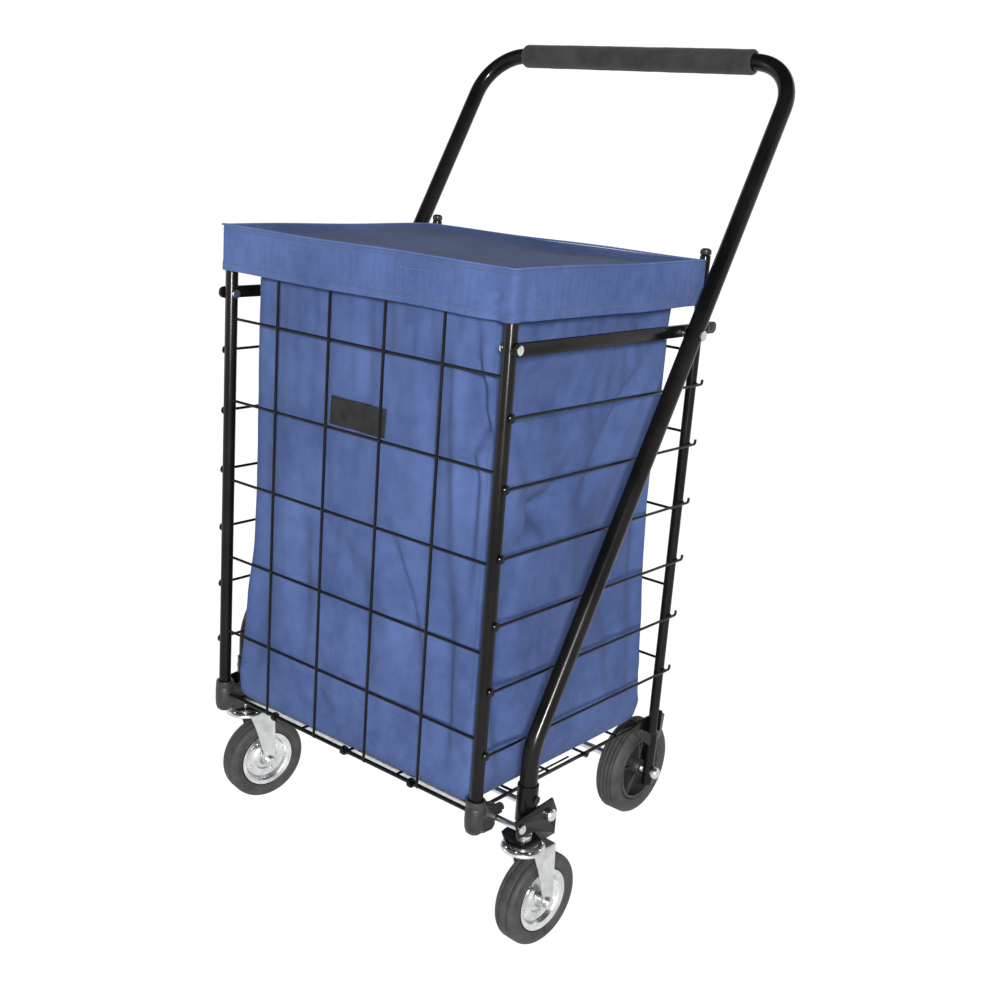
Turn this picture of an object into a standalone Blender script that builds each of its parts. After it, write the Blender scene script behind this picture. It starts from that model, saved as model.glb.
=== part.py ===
"""A folding wire shopping trolley with a hooded fabric liner, four wheels and a long U handle.

Sizes are in metres. The trolley is drawn upright in its own axes: x to its right, y to the back,
z up from the front panel's bottom wire. The empty called trolley then leans all of it back, so that
the four wheels stand on one floor, and centres it there.
"""
import math

import bmesh
import bpy
from mathutils import Matrix, Vector

# Basket
TRACK_HALF = 0.2285  # half the distance between the left and right tubes
DEPTH = 0.380  # front tubes to rear tubes
FRONT_TUBE_R = 0.008
REAR_TUBE_R = 0.0068
FRONT_TUBE_TOP = 0.622
FRONT_TUBE_BOTTOM = -0.0075
REAR_TUBE_TOP = 0.640
REAR_TUBE_BOTTOM = -0.018
TOP_RAIL_Z = 0.612
TOP_RAIL_R = 0.004
WIRE_R = 0.0018
RAIL_R = 0.0024
FIRST_ROW = 0.0927  # height of the lowest row of grid wire above the bottom wire
ROW_STEP = 0.1062
ROWS = 5
COLUMNS = 5
WELD_SINK = 0.0008  # how deep two crossing wires are welded into each other

# Side links
SIDE_FIRST = 0.0776
SIDE_STEP = 0.0795
SIDE_LEVELS = 6
BAR_Z = 0.549
BAR_TALL = 0.015
BAR_THICK = 0.005
BAR_TAIL = 0.017  # how far the bar runs on behind the rear tube
PIN_DEPTH = 0.0055  # how far a side wire's pin goes into its tube
HOOK_TAIL = 0.0095
HOOK_TALL = 0.006
RIVET_R = 0.003

# Handle
HANDLE_HALF = TRACK_HALF + 0.0281  # half the distance between the handle's legs
HANDLE_R = 0.011
LEG_Y = 0.0617  # the upright foot of each leg, and the swivel axis under it
LEG_BOTTOM = -0.020
LEG_SLOPE = 0.56  # how far a leg runs back for each metre it rises
HANDLE_TOP_Z = 0.8818
LOW_BEND_R = 0.08
TOP_BEND_R = 0.065
GRIP_SHORT = 0.0016  # from the foam's end to where the bend starts
GRIP_HALF = HANDLE_HALF - TOP_BEND_R - GRIP_SHORT
GRIP_R = 0.0165
PIVOT_Z = 0.5465  # the bolt that hangs a leg on its side bar
PIVOT_R = 0.0033
COLLAR_R = 0.0130
COLLAR_TOP = 0.028
LEG_RIVET_Z = 0.0116
COLLAR_RIVET_R = 0.0052

# Brackets, cross rods and casters
BRACKET_THICK = 0.0025
ROD_R = 0.004
FRONT_ROD_Y = 0.034
REAR_ROD_Y = 0.087
BASE_TOP = -0.045  # top of the bracket's base plate
CASTER_TRAIL = 0.030
CASTER_AXLE_Z = -0.1345
CASTER_TYRE_R = 0.0595
CASTER_RIM_R = 0.0406
CASTER_TYRE_HALF = 0.0160
FORK_IN = 0.0195
FORK_THICK = 0.0022
RACE_R = 0.0275
CASTER_TURN = {"left": 11.0, "right": 4.0}  # degrees that each caster has swung at rest

# Rear wheels
REAR_WHEEL_X = TRACK_HALF - 0.0395
REAR_AXLE_Y = 0.400
REAR_AXLE_Z = -0.088
REAR_TYRE_R = 0.068
REAR_RIM_R = 0.0470
REAR_TYRE_HALF = 0.0175
AXLE_R = 0.0055
REAR_LEG_X = TRACK_HALF - 0.0110
REAR_LEG_R = 0.008
REAR_LEG_BOTTOM = -0.107

# Floor and fabric
FLOOR_HALF = TRACK_HALF - 0.0150
FLOOR_Z = -0.0085
FLOOR_FRONT = 0.012
FLOOR_CROSS_STEP = 0.075
FLOOR_REAR = 0.368
FLOOR_LONG_WIRES = (  # place and radius of each
    (-FLOOR_HALF, RAIL_R),
    (-0.087, WIRE_R),
    (0, WIRE_R),
    (0.087, WIRE_R),
    (FLOOR_HALF, RAIL_R),
)
KNUCKLES = (-0.124, 0.008, 0.125)
LATCH_R = 0.0013
LATCH_LONG = 0.110
BAG_HALF = TRACK_HALF - 0.0210
BAG_FRONT = 0.0070
BAG_BACK = 0.3690
BAG_BOTTOM = -0.0040
BAG_TOP = 0.606
BAG_WALL = 0.002
BAG_CORNER_R = 0.022
HOOD_HALF = TRACK_HALF + 0.0105
HOOD_FRONT = -0.0105
HOOD_BACK = 0.3725
HOOD_TOP = 0.638
HOOD_HEM = 0.578
HOOD_WALL = 0.0018
HOOD_CORNER_R = 0.008
GAP = 0.0003  # between pieces that touch
RUNNING = 0.0004  # round a pin that turns in its hole

SIDES = {"left": -1, "right": 1}
AXIS_TURN = {
    "X": Matrix(((0, 0, 1), (1, 0, 0), (0, 1, 0))),
    "Y": Matrix(((0, 1, 0), (0, 0, 1), (1, 0, 0))),
    "Z": Matrix.Identity(3),
}


def clearScene():
    for old in list(bpy.data.objects):
        bpy.data.objects.remove(old, do_unlink=True)


def makeMaterial(name, color, roughness, metallic):
    material = bpy.data.materials.new(name)
    material.use_nodes = True
    surface = material.node_tree.nodes["Principled BSDF"]
    surface.inputs["Base Color"].default_value = (*color, 1)
    surface.inputs["Roughness"].default_value = roughness
    surface.inputs["Metallic"].default_value = metallic
    return material


def makeObject(name, bm, material=None, origin=(0, 0, 0), turn=0.0):
    """An object from shapes drawn round its origin, parented to the trolley."""
    bmesh.ops.recalc_face_normals(bm, faces=bm.faces)
    mesh = bpy.data.meshes.new(name)
    bm.to_mesh(mesh)
    bm.free()
    mesh.shade_smooth()
    mesh.set_sharp_from_angle(angle=math.radians(35))
    obj = bpy.data.objects.new(name, mesh)
    bpy.context.scene.collection.objects.link(obj)
    obj.parent = trolley
    obj.location = origin
    obj.rotation_euler = (0, 0, turn)
    if material:
        mesh.materials.append(material)
    return obj


def shape(build, *arguments, **options):
    """A loose helper object that a union or a cut uses up."""
    bm = bmesh.new()
    build(bm, *arguments, **options)
    return makeObject("helper", bm)


def combine(base, joined=(), cutters=()):
    """Unites some helpers with base, cuts others out of it, and removes them all."""
    for operation, helpers in (("UNION", joined), ("DIFFERENCE", cutters)):
        for helper in helpers:
            step = base.modifiers.new("step", "BOOLEAN")
            step.operation = operation
            step.solver = "EXACT"
            step.object = helper
    graph = bpy.context.evaluated_depsgraph_get()
    mesh = bpy.data.meshes.new_from_object(base.evaluated_get(graph))
    mesh.shade_smooth()
    mesh.set_sharp_from_angle(angle=math.radians(35))
    base.modifiers.clear()
    base.data = mesh
    for helper in (*joined, *cutters):
        bpy.data.objects.remove(helper, do_unlink=True)
    return base


def rename(obj, name, material):
    obj.name = name
    obj.data.name = name
    obj.data.materials.clear()
    obj.data.materials.append(material)
    return obj


def moveOrigin(obj, origin):
    """Puts an object's origin on its joint, leaving its shape where it is."""
    obj.data.transform(Matrix.Translation(-Vector(origin)))
    obj.location = origin
    return obj


def sweep(bm, path, radius, sides=8):
    """A round bar along a path, capped at both ends."""
    points = [Vector(p) for p in path]
    rings = []
    normal = None
    for before, point, after in zip(points[:1] + points, points, points[1:] + points[-1:]):
        tangent = ((after - point).normalized() + (point - before).normalized()).normalized()
        if normal is None:
            normal = tangent.orthogonal().normalized()
        normal = (normal - tangent * normal.dot(tangent)).normalized()
        across = tangent.cross(normal)
        angles = [2 * math.pi * (k + 0.5) / sides for k in range(sides)]
        rings.append(
            [bm.verts.new(point + radius * (math.cos(a) * normal + math.sin(a) * across)) for a in angles]
        )
    bm.faces.new(rings[0][::-1])
    bm.faces.new(rings[-1])
    for low, high in zip(rings, rings[1:]):
        for k in range(sides):
            bm.faces.new((low[k], low[k - 1], high[k - 1], high[k]))


def roundedPath(corners, radii, steps=6):
    """The corners joined by straight runs, with an arc of its own radius at each inner corner."""
    points = [Vector(corners[0])]
    for before, here, after, radius in zip(corners, corners[1:], corners[2:], radii):
        before, here, after = Vector(before), Vector(here), Vector(after)
        toBefore = (before - here).normalized()
        toAfter = (after - here).normalized()
        half = toBefore.angle(toAfter) / 2
        centre = here + (toBefore + toAfter).normalized() * radius / math.sin(half)
        start = here + toBefore * radius / math.tan(half)
        end = here + toAfter * radius / math.tan(half)
        spoke, last = start - centre, end - centre
        axis = spoke.cross(last).normalized()
        sweepAngle = spoke.angle(last)
        for i in range(steps + 1):
            points.append(centre + Matrix.Rotation(sweepAngle * i / steps, 3, axis) @ spoke)
    points.append(Vector(corners[-1]))
    return points


def rod(bm, axis, centre, low, high, radius, sides=16):
    """A straight round bar along X, Y or Z; centre gives its place across that axis."""
    turned(bm, [(0, low), (radius, low), (radius, high), (0, high)], axis, centre, sides)


def turned(bm, profile, axis="Z", centre=(0, 0, 0), sides=24):
    """A closed profile of (radius, along) points turned round an axis through centre."""
    place = AXIS_TURN[axis]
    rings = []
    for radius, along in profile:
        ring = []
        for k in range(sides if radius > 0 else 1):
            angle = 2 * math.pi * (k + 0.5) / sides
            spot = Vector((radius * math.cos(angle), radius * math.sin(angle), along))
            ring.append(bm.verts.new(Vector(centre) + place @ spot))
        rings.append(ring)
    loop = rings + [rings[0]] if all(r for r, _ in profile) else rings
    for low, high in zip(loop, loop[1:]):
        for k in range(sides):
            corners = [low[k % len(low)], low[k - 1] if len(low) > 1 else None]
            corners += [high[k - 1] if len(high) > 1 else None, high[k % len(high)]]
            corners = [corner for corner in corners if corner]
            if len(corners) > 2:
                bm.faces.new(corners)


def prism(bm, outline, axis, low, high, centre=(0, 0, 0)):
    """A flat outline extruded along an axis. On X the outline is (y, z), on Y (z, x), on Z (x, y)."""
    place = AXIS_TURN[axis]
    ends = [
        [bm.verts.new(Vector(centre) + place @ Vector((a, b, along))) for a, b in outline]
        for along in (low, high)
    ]
    bm.faces.new(ends[0][::-1])
    bm.faces.new(ends[1])
    for k in range(len(outline)):
        bm.faces.new((ends[0][k - 1], ends[0][k], ends[1][k], ends[1][k - 1]))


def roundedRectangle(low, high, radius, steps=4):
    """Outline points of a rectangle from low to high with round corners."""
    outline = []
    for quarter, (signX, signY) in enumerate(((1, 1), (-1, 1), (-1, -1), (1, -1))):
        cornerX = high[0] - radius if signX > 0 else low[0] + radius
        cornerY = high[1] - radius if signY > 0 else low[1] + radius
        for i in range(steps + 1):
            angle = math.pi / 2 * (quarter + i / steps)
            outline.append((cornerX + radius * math.cos(angle), cornerY + radius * math.sin(angle)))
    return outline


def stadium(lowY, highY, z, tall, steps=6):
    """A bar's side view: straight edges and half-round ends."""
    radius = tall / 2
    outline = []
    for centreY, start in ((highY - radius, -math.pi / 2), (lowY + radius, math.pi / 2)):
        for i in range(steps + 1):
            angle = start + math.pi * i / steps
            outline.append((centreY + radius * math.cos(angle), z + radius * math.sin(angle)))
    return outline


def span(side, inner, outer):
    """The low and high x of something that reaches from inner to outer on one side."""
    return sorted((SIDES[side] * inner, SIDES[side] * outer))


def acrossTrack(side):
    """A span wide enough to drill through anything that stands near one side's tubes."""
    return span(side, TRACK_HALF - 0.03, TRACK_HALF + 0.06)


def rowHeights():
    return [FIRST_ROW + ROW_STEP * i for i in range(ROWS)]


def columnPlaces():
    return [-TRACK_HALF + 2 * TRACK_HALF * i / COLUMNS for i in range(1, COLUMNS)]


def sideHeights():
    return [SIDE_FIRST + SIDE_STEP * i for i in range(SIDE_LEVELS)]


def pivotY():
    """Where a leg's centre line crosses the pivot bolt's height."""
    return legLineY(PIVOT_Z)


def legLineY(z):
    return 0.0207 + LEG_SLOPE * z


def gridWires(y, bottomY, bottomZ, verticalY):
    """The rows and columns of one upright panel, as helpers."""
    reach = TRACK_HALF
    wires = [shape(rod, "X", (0, y, z), -reach, reach, WIRE_R, 6) for z in rowHeights()]
    wires.append(shape(rod, "X", (0, bottomY, bottomZ), -reach, reach, RAIL_R, 8))
    wires.append(shape(rod, "X", (0, y, TOP_RAIL_Z), -reach, reach, TOP_RAIL_R, 10))
    low = bottomZ
    for x in columnPlaces():
        wires.append(shape(rod, "Z", (x, verticalY, 0), low, TOP_RAIL_Z, WIRE_R, 6))
    return wires


def tubeHoles(y, radius):
    """Blind holes for the side wires' pins and a through hole for the bar's rivet, both sides."""
    holes = []
    for side in SIDES:
        for z in sideHeights():
            low, high = span(side, TRACK_HALF + radius - PIN_DEPTH - RUNNING, TRACK_HALF + 2 * radius)
            holes.append(shape(rod, "X", (0, y, z), low, high, WIRE_R + RUNNING, 6))
        low, high = span(side, TRACK_HALF - 2 * radius, TRACK_HALF + 2 * radius)
        holes.append(shape(rod, "X", (0, y, BAR_Z), low, high, RIVET_R + RUNNING, 8))
    return holes


def makePanel(name, y, radius, bottom, top, railY, railZ, verticalY, material):
    tubes = [
        shape(rod, "Z", (sign * TRACK_HALF, y, 0), bottom, top, radius, 14) for sign in (-1, 1)
    ]
    wires = gridWires(y, railY, railZ, verticalY)
    panel = combine(tubes[0], [wires[0], tubes[1], *wires[1:]], tubeHoles(y, radius))
    return rename(panel, name, material)


def makeFrontPanel():
    verticalY = -2 * WIRE_R + WELD_SINK
    panel = makePanel(
        "front_panel", 0, FRONT_TUBE_R, FRONT_TUBE_BOTTOM, FRONT_TUBE_TOP, 0, 0, verticalY, blackSteel
    )
    moveOrigin(panel, (0, 0, BAR_Z))


def makeRearFrame():
    railZ = FLOOR_Z - 2 * RAIL_R - RUNNING
    verticalY = DEPTH - 2 * WIRE_R + WELD_SINK
    railY = DEPTH - REAR_TUBE_R / 2
    makePanel(
        "rear_frame", DEPTH, REAR_TUBE_R, REAR_TUBE_BOTTOM, REAR_TUBE_TOP, railY, railZ, verticalY, blackSteel
    )


def makeCornerCap(side):
    """A black foot on a front tube that also saddles over the front cross rod."""
    sign = SIDES[side]
    rodZ = rodHeight()
    seatTop = rodZ + ROD_R + RUNNING
    seatFront = FRONT_ROD_Y - ROD_R - RUNNING
    wall = FRONT_TUBE_R + 0.0045
    outline = [
        (-wall, 0.018),
        (wall, 0.018),
        (wall + 0.0075, 0.008),
        (FRONT_ROD_Y + 0.006, 0.000),
        (FRONT_ROD_Y + 0.008, seatTop),
        (seatFront, seatTop),
        (seatFront, rodZ - 0.009),
        (seatFront - 0.006, rodZ - 0.013),
        (-wall + 0.003, rodZ - 0.011),
        (-wall, rodZ - 0.006),
    ]
    low, high = span(side, FLOOR_HALF + RAIL_R + 2 * GAP, TRACK_HALF + wall)
    cap = shape(prism, outline, "X", low, high)
    place = (sign * TRACK_HALF, 0, 0)
    low, high = span(side, barIn() - 2 * GAP, TRACK_HALF + 2 * wall)
    behind = [(wall, -0.05), (0.06, -0.05), (0.06, 0.03), (wall, 0.03)]
    step = shape(prism, behind, "X", low, high)
    bore = shape(rod, "Z", place, FRONT_TUBE_BOTTOM - GAP, 0.03, FRONT_TUBE_R + RUNNING, 20)
    low, high = span(side, FLOOR_HALF - 0.01, TRACK_HALF)
    notch = shape(rod, "X", (0, 0, 0), low, high, RAIL_R + RUNNING, 12)
    rename(combine(cap, [], [bore, notch, step]), f"corner_cap_{side}", blackPlastic)


def makeTubePlug(side):
    profile = [(0, REAR_TUBE_TOP + GAP), (REAR_TUBE_R, REAR_TUBE_TOP + GAP)]
    profile += [(REAR_TUBE_R + 0.0006, REAR_TUBE_TOP + 0.002), (REAR_TUBE_R, REAR_TUBE_TOP + 0.006)]
    profile += [(REAR_TUBE_R * 0.6, REAR_TUBE_TOP + 0.008), (0, REAR_TUBE_TOP + 0.008)]
    bm = bmesh.new()
    turned(bm, profile, "Z", (SIDES[side] * TRACK_HALF, DEPTH, 0), 16)
    makeObject(f"rear_tube_plug_{side}", bm, blackPlastic)


def barIn():
    return TRACK_HALF + FRONT_TUBE_R + GAP + 0.0002


def makeSideBar(side):
    """The flat link along the top of one side, with holes for its two rivets and the leg's bolt."""
    low, high = span(side, barIn(), barIn() + BAR_THICK)
    outline = stadium(-0.0105, DEPTH + BAR_TAIL + BAR_TALL / 2, BAR_Z, BAR_TALL)
    bar = shape(prism, outline, "X", low, high)
    places = ((0, BAR_Z, RIVET_R), (pivotY(), PIVOT_Z, PIVOT_R), (DEPTH, BAR_Z, RIVET_R))
    holes = [
        shape(rod, "X", (0, y, z), *acrossTrack(side), radius + RUNNING, 12) for y, z, radius in places
    ]
    rename(combine(bar, [], holes), f"side_bar_{side}", blackSteel)
    moveOrigin(bar, (SIDES[side] * barIn(), DEPTH, BAR_Z))


def rivetProfile(side, tubeRadius, headR, headOut, headIn):
    """Head, shank and inner head of a rivet through the bar and its tube, from the outside in."""
    outer = barIn() + BAR_THICK + GAP
    inner = TRACK_HALF - tubeRadius - GAP
    ends = (outer + headOut, outer, inner, inner - headIn)
    a, b, c, d = (SIDES[side] * x for x in ends)
    outerHead = [(0, a), (headR * 0.7, a), (headR, (a + b) / 2), (headR, b)]
    return outerHead + [(RIVET_R, b), (RIVET_R, c), (headR, c), (headR, d), (0, d)]


def makeBarRivets(side):
    for name, y, tubeRadius, headR in (
        ("bar_front_rivet", 0, FRONT_TUBE_R, 0.0055),
        ("bar_rear_bolt", DEPTH, REAR_TUBE_R, 0.0060),
    ):
        bm = bmesh.new()
        turned(bm, rivetProfile(side, tubeRadius, headR, 0.0023, 0.0022), "X", (0, 0, 0), 14)
        makeObject(f"{name}_{side}", bm, zinc, (0, y, BAR_Z))


def makeSideWires(side):
    """Six level links: each pinned into both tubes, with a hooked tail behind the rear one."""
    sign = SIDES[side]
    x = sign * (TRACK_HALF + FRONT_TUBE_R + GAP + 0.0002 + WIRE_R)
    frontPin = sign * (TRACK_HALF + FRONT_TUBE_R - PIN_DEPTH)
    rearPin = sign * (TRACK_HALF + REAR_TUBE_R - PIN_DEPTH)
    tail = HOOK_TAIL
    corners = [(frontPin, -DEPTH, 0), (x, -DEPTH, 0), (x, tail, 0), (x, tail, HOOK_TALL)]
    path = roundedPath(corners, (WIRE_R * 1.3, WIRE_R * 1.3), 2)
    wire = shape(sweep, path, WIRE_R, 6)
    low, high = sorted((rearPin, x))
    combine(wire, [shape(rod, "X", (0, 0, 0), low, high, WIRE_R, 6)])
    rename(wire, f"side_wire_1_{side}", blackSteel)
    wire.location = (0, DEPTH, sideHeights()[0])
    for number, z in enumerate(sideHeights()[1:], 2):
        copy = bpy.data.objects.new(f"side_wire_{number}_{side}", wire.data)
        bpy.context.scene.collection.objects.link(copy)
        copy.parent = trolley
        copy.location = (0, DEPTH, z)


def makePivotBolt(side):
    """The bolt a leg hangs from: nut inside the bar, spacer between bar and leg, head outside."""
    sign = SIDES[side]
    barOut = barIn() + BAR_THICK
    legIn = HANDLE_HALF - HANDLE_R
    legOut = HANDLE_HALF + HANDLE_R
    nut, head, spacer = 0.0060, 0.0065, 0.0056
    steps = [
        (0, barIn() - 0.0035),
        (nut, barIn() - 0.0035),
        (nut, barIn() - GAP),
        (PIVOT_R, barIn() - GAP),
        (PIVOT_R, barOut + GAP),
        (spacer, barOut + GAP),
        (spacer, legIn - GAP),
        (PIVOT_R, legIn - GAP),
        (PIVOT_R, legOut + GAP),
        (head, legOut + GAP),
        (head, legOut + 0.0028),
        (head * 0.6, legOut + 0.0040),
        (0, legOut + 0.0040),
    ]
    bm = bmesh.new()
    turned(bm, [(r, sign * x) for r, x in steps], "X", (0, 0, 0), 12)
    makeObject(f"handle_pivot_bolt_{side}", bm, zinc, (0, pivotY(), PIVOT_Z))


def makeHandleFrame():
    """One long bent tube: foot, slanting leg, top, and the same down the other side."""
    topY = legLineY(HANDLE_TOP_Z)
    bendZ = (LEG_Y - legLineY(0)) / LEG_SLOPE
    left = [(LEG_Y, LEG_BOTTOM), (LEG_Y, bendZ), (topY, HANDLE_TOP_Z)]
    left = [(-HANDLE_HALF, y, z) for y, z in left]
    right = [(-x, y, z) for x, y, z in reversed(left)]
    radii = (LOW_BEND_R, TOP_BEND_R, TOP_BEND_R, LOW_BEND_R)
    frame = shape(sweep, roundedPath(left + right, radii, 6), HANDLE_R, 14)
    holes = [
        shape(rod, "X", (0, pivotY(), PIVOT_Z), *acrossTrack(side), PIVOT_R + RUNNING, 12)
        for side in SIDES
    ]
    rename(combine(frame, [], holes), "handle_frame", blackSteel)
    moveOrigin(frame, (0, pivotY(), PIVOT_Z))


def makeGrip():
    inner = HANDLE_R + 0.0005
    profile = [(inner, -GRIP_HALF), (GRIP_R - 0.0015, -GRIP_HALF), (GRIP_R, -GRIP_HALF + 0.0015)]
    profile += [(GRIP_R, GRIP_HALF - 0.0015), (GRIP_R - 0.0015, GRIP_HALF), (inner, GRIP_HALF)]
    bm = bmesh.new()
    turned(bm, profile, "X", (0, 0, 0), 20)
    makeObject("handle_grip", bm, foam, (0, legLineY(HANDLE_TOP_Z), HANDLE_TOP_Z))


def makeLegCollar(side):
    """A sleeve round the foot of a leg, with the rivet that holds it."""
    x = SIDES[side] * HANDLE_HALF
    inner = HANDLE_R + 0.0006
    low = LEG_BOTTOM + 0.001
    profile = [(inner, low), (COLLAR_R, low), (COLLAR_R, COLLAR_TOP), (inner, COLLAR_TOP)]
    collar = shape(turned, profile, "Z", (x, LEG_Y, 0), 16)
    place = (0, LEG_Y, LEG_RIVET_Z)
    low, high = span(side, HANDLE_HALF + HANDLE_R + 0.0012, HANDLE_HALF + COLLAR_R + 0.0022)
    head = shape(rod, "X", place, low, high, COLLAR_RIVET_R, 14)
    rename(combine(collar, [head]), f"leg_collar_{side}", blackSteel)


def rodHeight():
    return FLOOR_Z - RAIL_R - RUNNING - ROD_R


def bracketIn():
    return HANDLE_HALF + COLLAR_R + GAP


def makeBracket(side):
    """Bent sheet under a leg: an outer cheek that takes the cross rods, a base that takes the caster."""
    rodZ = rodHeight()
    baseLow = BASE_TOP - BRACKET_THICK
    inner = bracketIn()
    cheek = [
        (FRONT_ROD_Y - 0.012, rodZ + 0.0135),
        (REAR_ROD_Y + 0.006, rodZ + 0.0195),
        (REAR_ROD_Y + 0.016, rodZ + 0.001),
        (REAR_ROD_Y + 0.016, baseLow),
        (LEG_Y + 0.016, baseLow),
        (LEG_Y - 0.002, rodZ - 0.0125),
        (FRONT_ROD_Y - 0.004, rodZ - 0.0115),
    ]
    plate = shape(prism, cheek, "X", *span(side, inner, inner + BRACKET_THICK))
    base = [
        (inner + BRACKET_THICK, REAR_ROD_Y + 0.016),
        (HANDLE_HALF - 0.012, REAR_ROD_Y + 0.016),
        (HANDLE_HALF - 0.032, LEG_Y + 0.006),
        (HANDLE_HALF - 0.030, LEG_Y - 0.006),
        (HANDLE_HALF - 0.008, LEG_Y - 0.024),
        (inner - 0.002, LEG_Y - 0.020),
        (inner + BRACKET_THICK, LEG_Y + 0.010),
    ]
    outline = [(SIDES[side] * x, y) for x, y in base]
    floorPlate = shape(prism, outline, "Z", baseLow, BASE_TOP)
    x = SIDES[side] * HANDLE_HALF
    cuts = [shape(rod, "Z", (x, LEG_Y, 0), baseLow - 0.01, BASE_TOP + 0.01, 0.0060 + RUNNING, 16)]
    for y in (FRONT_ROD_Y, REAR_ROD_Y):
        low, high = span(side, inner - 0.01, inner + 0.01)
        cuts.append(shape(rod, "X", (0, y, rodZ), low, high, ROD_R + RUNNING, 12))
    rename(combine(plate, [floorPlate], cuts), f"caster_bracket_{side}", blackSteel)


def makeCrossRod(name, y, headR, headLong):
    """A zinc rod between the brackets, with a nut or a rivet head outside each cheek."""
    seat = bracketIn() + BRACKET_THICK + GAP
    half = [(0, seat + headLong), (headR * 0.8, seat + headLong), (headR, seat + headLong * 0.7)]
    half += [(headR, seat), (ROD_R, seat)]
    profile = [(r, x) for r, x in half] + [(r, -x) for r, x in reversed(half)]
    bm = bmesh.new()
    turned(bm, profile, "X", (0, 0, 0), 12)
    makeObject(name, bm, zinc, (0, y, rodHeight()))


def casterPlace(side):
    """Wheel centre of a caster, swung back by its rest turn."""
    turn = math.radians(CASTER_TURN[side])
    x = SIDES[side] * HANDLE_HALF + CASTER_TRAIL * math.sin(turn)
    return (x, LEG_Y + CASTER_TRAIL * math.cos(turn), CASTER_AXLE_Z)


def makeCaster(side):
    turn = -math.radians(CASTER_TURN[side])
    axis = (SIDES[side] * HANDLE_HALF, LEG_Y, 0)
    plateLow = BASE_TOP - BRACKET_THICK - 0.0095
    plateTop = plateLow + 0.003
    makeCasterStem(side, axis, plateLow, plateTop)
    makeFork(side, axis, turn, plateLow, plateTop)
    makeCasterWheel(side, turn)
    makeCasterAxle(side, turn)


def makeCasterStem(side, axis, plateLow, plateTop):
    """Threaded stem with its nut and upper race, and the king pin that carries the fork."""
    under = BASE_TOP - BRACKET_THICK - GAP
    raceLow = plateTop + 0.0005
    profile = [
        (0, plateLow - 0.0035),
        (0.0075, plateLow - 0.0035),
        (0.0075, plateLow - 0.0005),
        (0.0042, plateLow - 0.0005),
        (0.0042, raceLow),
        (0.0190, raceLow),
        (0.0190, under - 0.0015),
        (0.0150, under),
        (0.0060, under),
        (0.0060, BASE_TOP + GAP),
        (0.0098, BASE_TOP + GAP),
        (0.0098, BASE_TOP + 0.0070),
        (0.0082, BASE_TOP + 0.0085),
        (0.0050, BASE_TOP + 0.0085),
        (0.0050, BASE_TOP + 0.0120),
        (0, BASE_TOP + 0.0120),
    ]
    bm = bmesh.new()
    turned(bm, profile, "Z", (0, 0, 0), 16)
    makeObject(f"caster_stem_{side}", bm, zinc, axis)


def makeFork(side, axis, turn, plateLow, plateTop):
    """Top plate with its race cup, and two legs that run back and down to the axle."""
    top = []
    for i in range(11):
        angle = math.pi * (1 + i / 10)
        top.append((RACE_R * math.cos(angle), RACE_R * math.sin(angle)))
    out = FORK_IN + FORK_THICK
    top += [(RACE_R, 0.006), (out, 0.020), (out, 0.036), (-out, 0.036), (-out, 0.020), (-RACE_R, 0.006)]
    fork = shape(prism, top, "Z", plateLow, plateTop)
    cup = [(0.0198, plateLow + 0.001), (RACE_R, plateLow + 0.001), (RACE_R - 0.001, plateTop + 0.0035)]
    cup += [(0.0198, plateTop + 0.0035)]
    joined = [shape(turned, cup, "Z", (0, 0, 0), 20)]
    leg = [(-0.004, plateLow + 0.001), (0.0355, plateLow + 0.001)]
    endR = 0.0095
    for i in range(7):
        angle = math.pi * i / 6
        leg.append((CASTER_TRAIL + endR * math.cos(angle), CASTER_AXLE_Z - endR * math.sin(angle)))
    for sign in (-1, 1):
        low, high = sorted((sign * FORK_IN, sign * out))
        joined.append(shape(prism, leg, "X", low, high))
    cuts = [shape(rod, "Z", (0, 0, 0), plateLow - 0.01, plateTop + 0.01, 0.0047, 14)]
    cuts.append(shape(rod, "X", (0, CASTER_TRAIL, CASTER_AXLE_Z), -0.03, 0.03, 0.0042, 12))
    rename(combine(fork, joined, cuts), f"caster_fork_{side}", zinc)
    fork.location = axis
    fork.rotation_euler = (0, 0, turn)


def makeCasterWheel(side, turn):
    w = CASTER_TYRE_HALF
    groove = 0.0020
    half = [
        (CASTER_RIM_R + GAP, -w * 0.75),
        (CASTER_TYRE_R - 0.0110, -w),
        (CASTER_TYRE_R - 0.0050, -w),
        (CASTER_TYRE_R - 0.0004, -w * 0.60),
        (CASTER_TYRE_R - groove, -w * 0.48),
        (CASTER_TYRE_R, -w * 0.36),
    ]
    profile = half + [(r, -x) for r, x in reversed(half)]
    bm = bmesh.new()
    turned(bm, profile, "X", (0, 0, 0), 32)
    makeObject(f"caster_tyre_{side}", bm, rubber, casterPlace(side), turn)
    half = [
        (0.0044, -FORK_IN + 0.0012),
        (0.0100, -FORK_IN + 0.0012),
        (0.0115, -0.0060),
        (0.0300, -0.0060),
        (0.0330, -0.0120),
        (CASTER_RIM_R, -0.0128),
    ]
    profile = half + [(r, -x) for r, x in reversed(half)]
    bm = bmesh.new()
    turned(bm, profile, "X", (0, 0, 0), 24)
    makeObject(f"caster_rim_{side}", bm, zinc, casterPlace(side), turn)


def makeCasterAxle(side, turn):
    seat = FORK_IN + FORK_THICK + GAP
    half = [(0, seat + 0.0045), (0.0060, seat + 0.0045), (0.0074, seat + 0.0030)]
    half += [(0.0074, seat), (0.0038, seat)]
    profile = half + [(r, -x) for r, x in reversed(half)]
    bm = bmesh.new()
    turned(bm, profile, "X", (0, 0, 0), 10)
    makeObject(f"caster_axle_{side}", bm, zinc, casterPlace(side), turn)


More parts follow.
